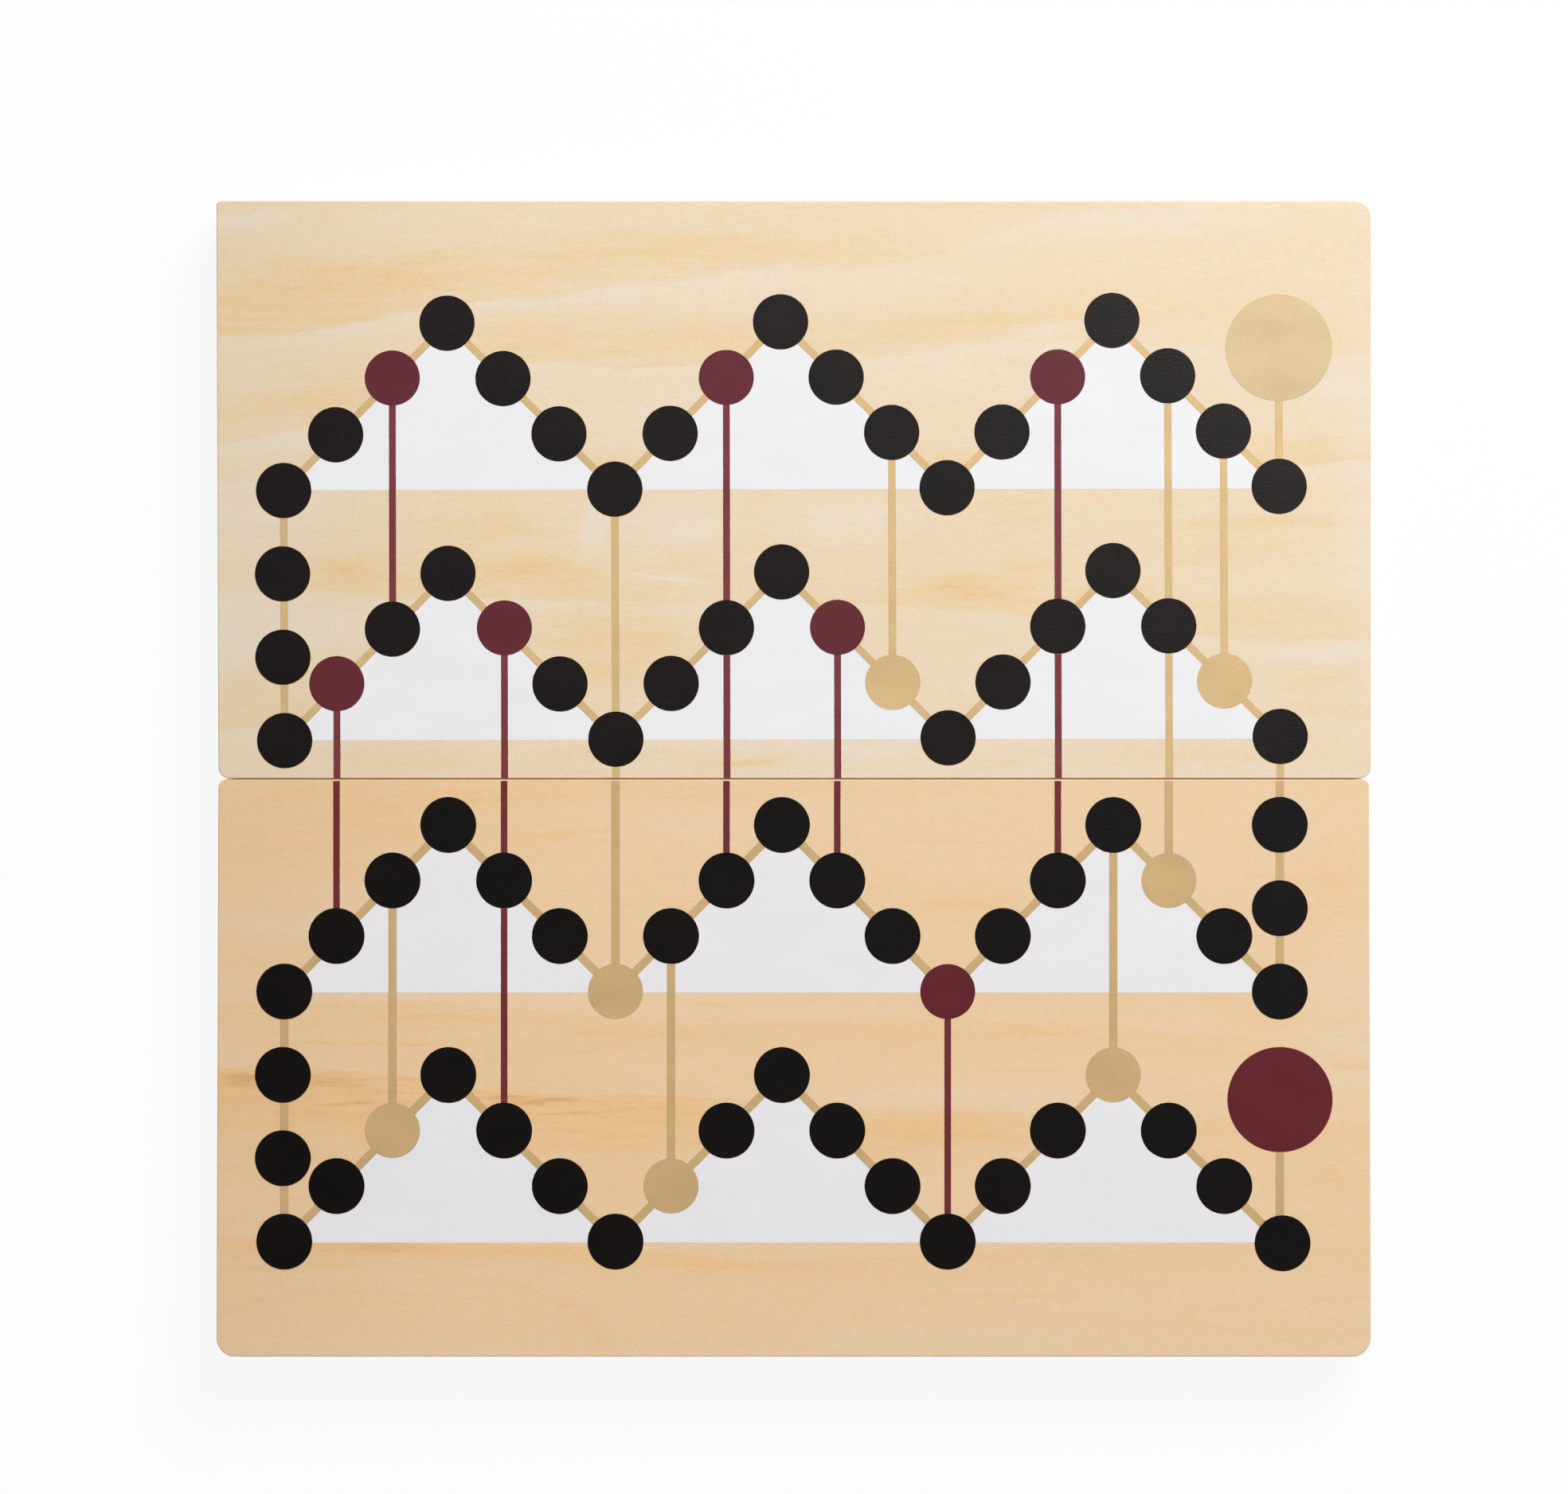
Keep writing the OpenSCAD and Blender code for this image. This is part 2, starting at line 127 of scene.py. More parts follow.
# Streaks of each play face as x, y, tilt in degrees, half length and half width in mm, and tone,
# where a positive tone is warmer than the wood round it and a negative one is paler
FAR_STREAKS = (
    (-100, 127, 4, 60, 8, 0.2),
    (-30, 134, 2, 40, 6, 0.15),
    (-140, 140, 10, 22, 4, -0.4),
    (80, 139, 2, 60, 5, -0.2),
    (-132, 94, 5, 26, 6, 0.3),
    (-130, 38, 0, 36, 10, -0.4),
    (-110, 53, 2, 14, 4, 0.35),
    (-139, 22, 0, 8, 8, 0.3),
    (-76, 60, 4, 28, 16, 0.32),
    (-60, 52, -3, 20, 5, 0.45),
    (-50, 64, 80, 10, 4.5, -0.7),
    (-27, 65, 0, 22, 10, -0.4),
    (-30, 50, -6, 20, 0.9, -0.5),
    (-28, 54, 4, 12, 2.5, 0.2),
    (-45, 34, 0, 30, 18, 0.35),
    (12, 65, 0, 28, 9, -0.35),
    (45, 48.5, 2, 22, 4, 0.5),
    (58, 53, 3, 10, 3, 0.35),
    (55, 67, 2, 16, 6, 0.25),
    (82, 46, 3, 16, 4, 0.3),
    (118, 64, 2, 30, 3, 0.45),
    (110, 57, 0, 24, 6, 0.2),
    (122, 44, 2, 26, 5, 0.2),
    (136, 31, 0, 30, 3, -0.35),
    (130, 24, 1, 14, 3, 0.2),
    (64, 113, 0, 12, 2.8, -0.5),
    (56, 104.5, 8, 7, 2, 0.25),
    (40, 114, 2, 45, 4, 0.2),
    (135, 98, 0, 14, 5, -0.3),
    (-94, 5, 0, 34, 4, 0.4),
    (-50, 6, 2, 30, 3, 0.3),
    (100, 6, 1, 44, 4, 0.2),
    (-10, 4, 8, 14, 1.6, 0.35),
    (22, 7, 10, 14, 2, -0.4),
    (50, 3, 6, 14, 2, 0.3),
    (-70, 1.5, 0, 60, 3, 0.25),
    (-18, 4, 0, 24, 5, 0.3),
    (-141, 36, 0, 14, 24, -0.45),
    (-140, 72, 0, 34, 46, -0.34),
    (-20, 122, 0, 120, 10, -0.2),
    (146, 75, 0, 14, 75, -0.25),
    (-15, 50, 0, 75, 9, -0.22),
)
NEAR_STREAKS = (
    (-50, -3, 0, 120, 5, 0.35),
    (-128, -12, 1, 50, 18, 0.35),
    (-100, -8, 1, 16, 6, 0.15),
    (-58, -14, 6, 26, 1.6, 0.3),
    (-66, -6, 3, 20, 3, 0.15),
    (-30, -12, -1, 26, 1.2, -0.35),
    (40, -22, 0, 34, 9, -0.2),
    (42, -31, -1, 18, 2, 0.4),
    (38, -16, -4, 20, 0.8, 0.3),
    (126, -24.5, 1, 24, 1.3, 0.35),
    (138, -26, 0, 9, 3, 0.35),
    (-130, -37, 0, 34, 5, -0.25),
    (-135, -46, -30, 6, 0.8, 0.35),
    (-132, -55, 2, 12, 3, 0.2),
    (-92, -60, 2, 28, 1.4, 0.3),
    (-108, -66.3, 0.5, 42, 0.8, 0.4),
    (-50, -64.5, 3.5, 28, 0.8, 0.3),
    (-20, -57, -3, 9, 1.2, 0.4),
    (7, -54.5, -3, 9, 0.9, 0.35),
    (108, -55, 0, 9, 0.9, 0.3),
    (24, -64, 0, 28, 3.5, 0.25),
    (58, -63.5, 0, 18, 1.4, 0.35),
    (-139, -75, 0, 8, 1.8, 0.8),
    (-122, -76, 0, 30, 3, 0.35),
    (-112, -82, 0.5, 12, 0.8, 0.5),
    (-66, -79.5, -1, 16, 1.8, 0.7),
    (-52, -84, -1, 17, 1, 0.6),
    (-36, -73, 0, 46, 6, -0.2),
    (38, -79.5, 0, 44, 3.5, -0.2),
    (38, -88, 0, 28, 6, 0.3),
    (56, -73, 0, 18, 0.8, 0.35),
    (139, -72.3, 0, 8, 1.4, 0.45),
    (-100, -118, 0, 44, 1.6, 0.3),
    (-68, -120, -2, 18, 2.2, 0.3),
    (-20, -121.5, 1, 20, 1.6, 0.3),
    (-85, -124, -2, 40, 2, -0.25),
    (55, -130, 0, 38, 0.9, 0.35),
    (56, -131, 0, 2.5, 0.6, 0.6),
    (137, -131, 3, 14, 1, 0.3),
    (35, -141, 0, 60, 5, -0.2),
    (133, -100, 0, 20, 8, 0.15),
    (142, -60, 0, 26, 36, -0.35),
    (97, -60, 0, 22, 6, -0.25),
    (-75, -90, 0, 130, 38, 0.42),
    (-78, -12, 0, 50, 14, 0.35),
    (88, -34, 0, 40, 26, -0.36),
)
# Arcs of the rings' tips, as x, y, tilt, half length, half width and tone of their line
NEAR_ARCS = (
    (-120, -142, 0, 72, 20, 0.35),
    (-104, -140, 0, 48, 11, 0.2),
    (150, -135, 0, 52, 4.5, 0.25),
)
# What each play face shows: its figure, how strong that is, and the wood's tone and strokes
FACES = {
    "far": {
        "rings": FAR_RINGS,
        "streaks": FAR_STREAKS,
        "arcs": (),
        "contrast": 0.9,
        "base": 0.34,
        "strokes": 0.9,
    },
    "near": {
        "rings": NEAR_RINGS,
        "streaks": NEAR_STREAKS,
        "arcs": NEAR_ARCS,
        "contrast": 0.75,
        "base": 0.45,
        "strokes": 0.75,
    },
}


def srgb(red, green, blue):
    """A colour as the screen writes it, from 0 to 255, in the linear values of a shader."""
    shares = [value / 255 for value in (red, green, blue)]
    return tuple(s / 12.92 if s <= 0.04045 else ((s + 0.055) / 1.055) ** 2.4 for s in shares)


def length(name, description, default_mm, low_mm=0.0, high_mm=1000.0):
    """A length property, given in millimetres."""
    return FloatProperty(
        name=name,
        description=description,
        default=default_mm * MM,
        min=low_mm * MM,
        max=high_mm * MM,
        unit="LENGTH",
        precision=5,
    )


def angle(name, description, degrees):
    """An angle property, given in degrees."""
    return FloatProperty(
        name=name, description=description, default=math.radians(degrees), unit="ROTATION"
    )


def share(name, description, default):
    """A strength from nothing to all."""
    return FloatProperty(
        name=name, description=description, default=default, min=0, max=1, subtype="FACTOR"
    )


def colour(name, description, default):
    """A colour property, given as srgb() returns it."""
    return FloatVectorProperty(
        name=name, description=description, default=default, size=3, min=0, max=1, subtype="COLOR"
    )


class BoardWood(bpy.types.PropertyGroup):
    """Shape and colours of the plywood and the rails."""

    ease: length("Edge easing", "Radius sanded on the long edges", 0.35, 0.05, 1)
    joint_ease: length("Joint easing", "Width of the groove along a finger joint", 0.08, 0.02, 0.3)
    far_left_in: length("Far left taper", "Wood sanded off the far half's left end at the seam", 0.5)
    near_left_in: length("Near left taper", "Wood sanded off the near left end at the seam", 0.5)
    near_right_in: length("Near right taper", "Wood sanded off the near right end at the seam", 0.5)
    veneer: length("Veneer", "Thickness of each outer ply of a play panel", 0.9, 0.3, 1.4)
    far_tilt: angle("Far grain tilt", "Slope of the grain on the far play face", 2.5)
    near_tilt: angle("Near grain tilt", "Slope of the grain on the near play face", 0)
    # Painted shade: the wood of the play faces is made darker and a little warmer towards its left
    # end, where the light falls off
    end_tone: colour("End tone", "Tone over the wood at its left end", (0.935, 0.925, 0.905))
    end_fade: length("End fade", "How far from the left end that tone reaches", 72)
    far_pale: colour("Far pale", "Palest wood of the far play face", srgb(237, 221, 199))
    far_warm: colour("Far warm", "Warmest wood of the far play face", srgb(237, 206, 157))
    near_pale: colour("Near pale", "Palest wood of the near play face", srgb(238, 213, 181))
    near_warm: colour("Near warm", "Warmest wood of the near play face", srgb(240, 198, 144))
    line: colour("Deep tone", "Deepest tone of the grain", srgb(222, 171, 118))
    rail_pale: colour("Rail pale", "Palest wood of the rails", srgb(238, 214, 174))
    rail_warm: colour("Rail warm", "Warmest wood of the rails", srgb(224, 184, 134))
    rail_end: colour("Rail end", "Tone over the end grain of the rails", srgb(224, 206, 190))
    core: colour("Core ply", "Middle ply of the play panels", srgb(226, 190, 146))
    glue: colour("Glue lines", "Glue between the plies", srgb(150, 104, 66))
    # Painted shade: a dark brown laid on the wood right at the seam, where shade falls into the gap
    seam: colour("Seam", "Wood of the play faces right at the seam", srgb(172, 104, 54))
    seam_gap: length("Seam gap", "Gap between the play panels", 0.1, 0.02, 0.3)


class BoardPrint(bpy.types.PropertyGroup):
    """Layout, sizes and colours of the printed marks."""

    left: length("Left margin", "From the left end to the first column", 16.2)
    right: length("Right margin", "From the right end to the last column", 22.8)
    near: length("Near margin", "From the near edge to the lowest row", 28.95)
    far: length("Far margin", "From the far edge to the highest peaks", 30.36)
    seam: length("Seam room", "Extra room that the seam takes between two rows", 0.75)
    first_column_in: length("First column", "How far the first column is set in", 0.95)
    bow: length("Bow", "How far the middle columns are shifted to the right", 0.4)
    far_left: length("Far shift", "How far the far print is shifted to the left", 0.16)
    white_drop: length("White drop", "How far the white lies below the track", 0.27)
    far_track_turn: angle("Track turn", "Turn of the black and the gold on the far half", 0.24)
    far_white_turn: angle("White turn", "Turn of the white and the burgundy on the far half", 0.1)
    far_bare: length("Far bare edge", "Bare wood between the far print and the seam", 0.05)
    near_bare: length("Near bare edge", "Bare wood between the near print and the seam", 0.4)
    far_space_d: length("Far spaces", "Diameter of a coloured space on the far half", 13.83)
    near_space_d: length("Near spaces", "Diameter of a coloured space on the near half", 13.78)
    far_black_d: length("Far black spaces", "Diameter of a black space on the far half", 13.87)
    near_black_d: length("Near black spaces", "Diameter of a black space on the near half", 14.02)
    riser_left: length("Riser shift", "How far the first column's loose spaces lie to its left", 0.36)
    last_right: length("Last space right", "How far the lowest right space strays to the right", 0.68)
    last_down: length("Last space down", "How far the lowest right space strays down", 0.42)
    far_disc_d: length("Gold disc", "Diameter of the big gold disc", 26.7)
    near_disc_d: length("Burgundy disc", "Diameter of the big burgundy disc", 26.3)
    far_disc_rise: length("Gold disc rise", "Height of the gold disc above its row", 34.8)
    near_disc_rise: length("Burgundy disc rise", "Height of the burgundy disc above its row", 35.7)
    far_gold_w: length("Far gold bars", "Width of the gold bars on the far half", 1.86)
    near_gold_w: length("Near gold bars", "Width of the gold bars on the near half", 2.06)
    far_burgundy_w: length("Far burgundy bars", "Width of the far burgundy bars", 1.72)
    near_burgundy_w: length("Near burgundy bars", "Width of the near burgundy bars", 1.64)
    ragged: length("Ragged edge", "How far the edges of the marks stray", 0.04)
    rim: length("Rim", "Width of the darker rim of a mark", 0.16)
    halo_shift: length("Gold shift", "How far the gold lies to the lower right of the black", 0.05)
    far_white: colour("Far white ink", "White filling on the far half", srgb(240, 240, 242))
    near_white: colour("Near white ink", "White filling on the near half", srgb(239, 237, 239))
    # The far half's gold is brighter than the near half's partly as painted sheen, where the light
    # catches the metallic ink from the far side, and partly because the halves are printed apart
    far_gold: colour("Far gold ink", "Gold ink on the far half", srgb(227, 193, 139))
    near_gold: colour("Near gold ink", "Gold ink on the near half", srgb(218, 184, 131))
    # Paler gold of the big disc: partly its own paler ink, partly painted sheen, where the light
    # catches the metallic ink at the top right
    disc_gold_and_sheen: colour("Gold disc ink", "Paler gold of the big disc", srgb(220, 193, 150))
    gold_rim: colour("Gold rim", "Edge of the gold ink", srgb(176, 136, 100))
    gold_flake: share("Gold flake", "How metallic the gold ink is", 0.2)
    far_burgundy: colour("Far burgundy ink", "Burgundy ink on the far half", srgb(101, 36, 46))
    near_burgundy: colour("Near burgundy ink", "Burgundy ink on the near half", srgb(100, 29, 38))
    far_bar: colour("Far burgundy bar", "Thinner ink of the far burgundy bars", srgb(124, 55, 59))
    near_bar: colour("Near burgundy bar", "Thinner ink of the near bars", srgb(114, 43, 45))
    burgundy_rim: colour("Burgundy rim", "Edge of the burgundy ink", srgb(92, 26, 34))
    red_edge: colour("Red edge", "Thin ink that shows below the big burgundy disc", srgb(176, 74, 56))
    red_shift: length("Red shift", "How far that ink lies to the lower right", 0.12)
    far_black: colour("Far black ink", "Ordinary spaces of the far half", srgb(17, 9, 7))
    near_black: colour("Near black ink", "Ordinary spaces of the near half", srgb(10, 5, 4))
    black_rim: colour("Black rim", "Edge of the black ink", srgb(30, 18, 12))


class BoardMetal(bpy.types.PropertyGroup):
    """Finish of the hinges, screws and magnets."""

    leaf_ease: length("Leaf easing", "Radius of a stamped leaf's edges", 0.07, 0.01, 0.2)
    screw_ease: length("Screw easing", "Radius of a screw's edges", 0.03, 0.01, 0.1)
    magnet_ease: length("Magnet easing", "Radius of a magnet's edges", 0.2, 0.05, 0.5)
    brass: colour("Brass", "Clean brass", srgb(222, 188, 116))
    brass_dull: colour("Dull brass", "Brass where it has tarnished", srgb(166, 124, 66))
    steel: colour("Steel", "Wire of the hinge pins", srgb(186, 186, 188))
    nickel: colour("Nickel", "Plating of the magnets", srgb(208, 206, 200))


class BoardStudio(bpy.types.PropertyGroup):
    """Camera and light."""

    frame_w: length("Frame width", "Width that the photograph covers at the play face", 393.8)
    camera_x: length("Camera X", "Camera's place along the seam", -2.42, -1000)
    camera_y: length("Camera Y", "Camera's place across the seam", 8.0, -1000)
    camera_rise: length("Camera height", "Height of the camera above the play face", 1400, 100, 9000)
    key_power: FloatProperty(
        name="Key light", description="Power of the large light", default=21.5, min=0, unit="POWER"
    )
    fill_power: FloatProperty(
        name="Fill light", description="Power of the fill light", default=4, min=0, unit="POWER"
    )
    room: share("Room light", "Light that comes from all sides", 0.3)


SETTINGS = {
    "board_wood": BoardWood,
    "board_print": BoardPrint,
    "board_metal": BoardMetal,
    "board_studio": BoardStudio,
}


class Graph:
    """Adds nodes to one shader tree and links them."""

    def __init__(self, tree):
        self.tree = tree

    def feed(self, socket, value):
        if isinstance(value, bpy.types.NodeSocket):
            self.tree.links.new(value, socket)
        elif socket.type == "RGBA":
            socket.default_value = (*value[:3], 1)
        else:
            socket.default_value = value

    def node(self, kind, fields=None, **settings):
        made = self.tree.nodes.new("ShaderNode" + kind)
        for name, value in settings.items():
            setattr(made, name, value)
        for name, value in (fields or {}).items():
            self.feed(made.inputs[name], value)
        return made

    def math(self, operation, first, second=0.5, clamp=False):
        made = self.node("Math", {0: first, 1: second}, operation=operation, use_clamp=clamp)
        return made.outputs[0]

    def plus(self, first, second):
        return self.math("ADD", first, second)

    def minus(self, first, second):
        return self.math("SUBTRACT", first, second)

    def times(self, first, second):
        return self.math("MULTIPLY", first, second)

    def move(self, operation, vector, by):
        made = self.node("VectorMath", {0: vector, 1: by}, operation=operation)
        return made.outputs[0]

    def turn(self, vector, by, invert=False):
        fields = {"Vector": vector, "Angle": by}
        made = self.node("VectorRotate", fields, rotation_type="Z_AXIS", invert=invert)
        return made.outputs[0]

    def parts(self, vector):
        return self.node("SeparateXYZ", {0: vector}).outputs

    def mix(self, factor, first, second, blend="MIX"):
        made = self.node("Mix", data_type="RGBA", blend_type=blend)
        for index, value in ((0, factor), (6, first), (7, second)):
            self.feed(made.inputs[index], value)
        return made.outputs[2]

    def shade(self, tone, by):
        """A colour times a grey value."""
        grey = self.node("CombineColor", {"Red": by, "Green": by, "Blue": by})
        return self.mix(1.0, tone, grey.outputs[0], "MULTIPLY")

    def noise(self, vector, along, across, detail=2.0, roughness=0.5):
        """Noise with this many features in a millimetre along X, and along Y and Z."""
        scaled = self.move("MULTIPLY", vector, (along, across, across))
        made = self.node("TexNoise", {"Vector": scaled, "Scale": 1.0, "Detail": detail})
        made.inputs["Roughness"].default_value = roughness
        return made.outputs["Fac"]

    def spread(self, value, strength, base):
        """Noise round its middle of 0.5, times a strength, on top of a base."""
        return self.plus(self.times(self.minus(value, 0.5), strength), base)

    def between(self, value, low, high, to_low=0.0, to_high=1.0):
        """Value as a smooth step from one level to another."""
        fields = {"Value": value, "From Min": low, "From Max": high}
        fields.update({"To Min": to_low, "To Max": to_high})
        made = self.node("MapRange", fields, interpolation_type="SMOOTHSTEP")
        return made.outputs["Result"]

    def place(self, group, fields):
        made = self.tree.nodes.new("ShaderNodeGroup")
        made.node_tree = group
        for name, value in fields.items():
            self.feed(made.inputs[name], value)
        return made.outputs


def new_group(name, inputs, outputs):
    """A shader node group with named sockets, and its inner input and output sockets."""
    group = bpy.data.node_groups.new(name, "ShaderNodeTree")
    kinds = {"vector": "NodeSocketVector", "colour": "NodeSocketColor", "value": "NodeSocketFloat"}
    for label, kind in inputs.items():
        group.interface.new_socket(name=label, in_out="INPUT", socket_type=kinds[kind])
    for label, kind in outputs.items():
        group.interface.new_socket(name=label, in_out="OUTPUT", socket_type=kinds[kind])
    given = group.nodes.new("NodeGroupInput").outputs
    result = group.nodes.new("NodeGroupOutput").inputs
    return group, Graph(group), given, result


# Where a streak starts to fade, and how wide the line round it is, as shares of its reach
STREAK_CORE = 0.2
STREAK_LINE = 0.08


def streak_group():
    """Soft-ended streak in wood: 1 in its middle and 0 past its ends, and the line round it."""
    inputs = {
        "Vector": "vector", "Centre": "vector", "Tilt": "value", "Length": "value", "Width": "value"
    }
    outputs = {"Mask": "value", "Line": "value"}
    group, graph, given, result = new_group("wood_streak", inputs, outputs)
    local = graph.move("SUBTRACT", given["Vector"], given["Centre"])
    parts = graph.parts(graph.turn(local, given["Tilt"], invert=True))
    along = graph.math("DIVIDE", parts["X"], given["Length"])
    across = graph.math("DIVIDE", parts["Y"], given["Width"])
    reach = graph.math("SQRT", graph.plus(graph.times(along, along), graph.times(across, across)))
    graph.feed(result["Mask"], graph.between(reach, STREAK_CORE, 1.0, 1.0, 0.0))
    off_line = graph.math("ABSOLUTE", graph.minus(reach, 1.0))
    graph.feed(result["Line"], graph.between(off_line, 0.0, STREAK_LINE, 1.0, 0.0))
    return group


# In mm beyond a ring's edge: where its warm wood starts, and where the wood short of it is pale,
# with how pale that is. The warm wood fades from this share of the ring's reach
RING_RISE = (-0.5, 0.8)
RING_SHORT = (-5.0, -0.6)
RING_PALENESS = 0.45
RING_CORE = 0.25


def ring_group():
    """Growth ring by the distance beyond its edge: warm beyond it, fading with the reach, and pale
    short of it."""
    inputs = {"Beyond": "value", "Reach": "value", "Tone": "value"}
    group, graph, given, result = new_group("wood_ring", inputs, {"Tone": "value"})
    beyond = given["Beyond"]
    rise = graph.between(beyond, *RING_RISE)
    core = graph.times(given["Reach"], RING_CORE)
    fall = graph.between(beyond, core, given["Reach"], 1.0, 0.0)
    pale = graph.between(beyond, *RING_SHORT, 0.0, RING_PALENESS)
    short = graph.times(pale, graph.minus(1.0, rise))
    warm = graph.minus(graph.times(rise, fall), short)
    graph.feed(result["Tone"], graph.times(warm, given["Tone"]))
    return group


def grain_group():
    """Pale wood in millimetres with its grain along X: soft bands, short strokes and fibres."""
    inputs = {
        "Vector": "vector", "Figure": "value", "Pale": "colour", "Warm": "colour", "Line": "colour",
        "Base": "value", "Bands": "value", "Strokes": "value", "Fibres": "value",
    }
    outputs = {"Color": "colour", "Height": "value", "Roughness": "value"}
    group, graph, given, result = new_group("wood_grain", inputs, outputs)
    spot = given["Vector"]
    lift = graph.spread(graph.noise(spot, 0.05, 0.12), 1.8, 0.0)
    lift = graph.spread(graph.noise(spot, 0.006, 0.02, 1.0), 16.0, lift)
    bend = graph.node("CombineXYZ", {"Y": lift, "Z": lift})
    wavy = graph.move("ADD", spot, bend.outputs[0])

    bands = graph.spread(graph.noise(wavy, 0.003, 0.055, 1.0), 2.4, 0.0)
    bands = graph.spread(graph.noise(wavy, 0.02, 0.25), 1.2, bands)
    tone = graph.plus(graph.times(bands, given["Bands"]), given["Figure"])
    tone = graph.plus(tone, given["Base"])
    stroke = graph.spread(graph.noise(wavy, 0.4, 1.8, 3.0, 0.75), 1.2, 0.0)
    stroke = graph.spread(graph.noise(wavy, 0.13, 0.7, 2.0, 0.7), 0.55, stroke)
    dash = graph.between(graph.noise(wavy, 0.16, 2.2), 0.58, 0.72, 0.0, 0.2)
    tone = graph.plus(tone, graph.times(graph.plus(stroke, dash), given["Strokes"]))
    warmth = graph.math("MULTIPLY", tone, 1.0, clamp=True)
    base = graph.mix(warmth, given["Pale"], given["Warm"])
    base = graph.mix(graph.between(tone, 1.0, 1.8, 0.0, 0.8), base, given["Line"])

    fibre = graph.noise(wavy, 1.1, 2.8, 2.0, 0.7)
    fine = graph.noise(wavy, 2.6, 4.5, 2.0, 0.6)
    fibres = graph.plus(graph.times(fibre, 0.5), graph.times(fine, 0.5))
    graph.feed(result["Color"], graph.shade(base, graph.spread(fibres, given["Fibres"], 1.0)))
    graph.feed(result["Roughness"], graph.plus(graph.times(fibres, 0.16), 0.38))
    graph.feed(result["Height"], graph.plus(fibres, stroke))
    return group


def ink_group():
    """Opaque screen-printed ink over wood: speckle, a rim and the fibres that show through."""
    inputs = {
        "Vector": "vector", "Ink": "colour", "Rim Color": "colour", "Rim": "value",
        "Speckle": "value", "Fleck": "colour", "Flecks": "value",
    }
    outputs = {"Color": "colour", "Height": "value", "Roughness": "value"}
    group, graph, given, result = new_group("printed_ink", inputs, outputs)
    spot = given["Vector"]
    grit = graph.noise(spot, 1.8, 1.8, 3.0, 0.85)
    cloud = graph.noise(spot, 0.06, 0.12)
    wander = graph.spread(grit, 0.75, graph.spread(cloud, 0.5, 0.0))
    body = graph.shade(given["Ink"], graph.plus(graph.times(wander, given["Speckle"]), 1.0))
    fleck = graph.between(graph.noise(spot, 1.5, 2.6, 1.0), 0.74, 0.8)
    body = graph.mix(graph.times(fleck, given["Flecks"]), body, given["Fleck"])
    graph.feed(result["Color"], graph.mix(given["Rim"], body, given["Rim Color"]))
    fibres = graph.noise(spot, 0.5, 2.0, 3.0, 0.7)
    graph.feed(result["Height"], graph.plus(fibres, graph.times(grit, 0.35)))
    graph.feed(result["Roughness"], graph.plus(graph.times(grit, 0.14), 0.3))
    return group


def metal_group():
    """Worked metal: fine lines along X, and dull patches."""
    inputs = {"Vector": "vector", "Clean": "colour", "Dull": "colour", "Patches": "value"}
    outputs = {"Color": "colour", "Height": "value", "Roughness": "value"}
    group, graph, given, result = new_group("worked_metal", inputs, outputs)
    patch = graph.between(graph.noise(given["Vector"], 0.35, 0.5, 4.0, 0.6), 0.38, 0.72)
    brushed = graph.noise(given["Vector"], 0.7, 18, 2.0, 0.7)
    mask = graph.times(patch, given["Patches"])
    graph.feed(result["Color"], graph.mix(mask, given["Clean"], given["Dull"]))
    wear = graph.plus(graph.times(brushed, 0.2), graph.times(mask, 0.25))
    graph.feed(result["Roughness"], graph.plus(wear, 0.16))
    graph.feed(result["Height"], brushed)
    return group


GROUPS = {
    "wood_streak": streak_group,
    "wood_ring": ring_group,
    "wood_grain": grain_group,
    "printed_ink": ink_group,
    "worked_metal": metal_group,
}


def shared(name):
    """The node group of that name, built the first time it is asked for."""
    return bpy.data.node_groups.get(name) or GROUPS[name]()


def new_material(name):
    """A material, its graph, its Principled shader and its coordinates in millimetres."""
    material = bpy.data.materials.new(name)
    material.use_nodes = True
    shader = material.node_tree.nodes["Principled BSDF"]
    graph = Graph(material.node_tree)
    coordinates = graph.node("TexCoord").outputs
    spot = graph.move("MULTIPLY", coordinates["Object"], (PER_METRE,) * 3)
    return material, graph, shader, spot


def dress(graph, shader, finish, tone, relief, depth):
    """Feeds a colour and a finish group's outputs to the shader, with relief of a depth in mm."""
    graph.feed(shader.inputs["Base Color"], tone)
    graph.feed(shader.inputs["Roughness"], finish["Roughness"])
    fields = {"Height": finish["Height"], "Strength": relief, "Distance": depth * MM}
    graph.feed(shader.inputs["Normal"], graph.node("Bump", fields).outputs[0])


def streaks(graph, spot, rows, output):
    """Sum of a play face's streaks or arcs, each times its tone."""
    figure = 0.0
    for x, y, tilt, half_length, half_width, tone in rows:
        fields = {"Vector": spot, "Centre": (x, y, 0), "Tilt": math.radians(tilt)}
        fields.update({"Length": half_length, "Width": half_width})
        mask = graph.place(shared("wood_streak"), fields)[output]
        figure = graph.plus(graph.times(mask, tone), figure)
    return figure


def rings(graph, spot, rows):
    """Sum of a play face's growth rings."""
    parts = graph.parts(spot)
    along = graph.plus(graph.math("DIVIDE", parts["X"], 2 * RING_SPAN), 0.5)
    from_seam = graph.math("ABSOLUTE", parts["Y"])
    figure = 0.0
    for left_tone, right_tone, reach, points in rows:
        line = graph.node("FloatCurve", {"Value": along})
        curve = line.mapping.curves[0]
        places = [(x / (2 * RING_SPAN) + 0.5, distance / RING_SPAN) for x, distance in points]
        curve.points[0].location = places[0]
        curve.points[1].location = places[-1]
        for place in places[1:-1]:
            curve.points.new(*place)
        line.mapping.update()
        fields = {
            "Beyond": graph.minus(from_seam, graph.times(line.outputs[0], RING_SPAN)),
            "Reach": reach,
            "Tone": graph.between(along, *RING_FADE, left_tone, right_tone),
        }
        figure = graph.plus(graph.place(shared("wood_ring"), fields)["Tone"], figure)
    return figure


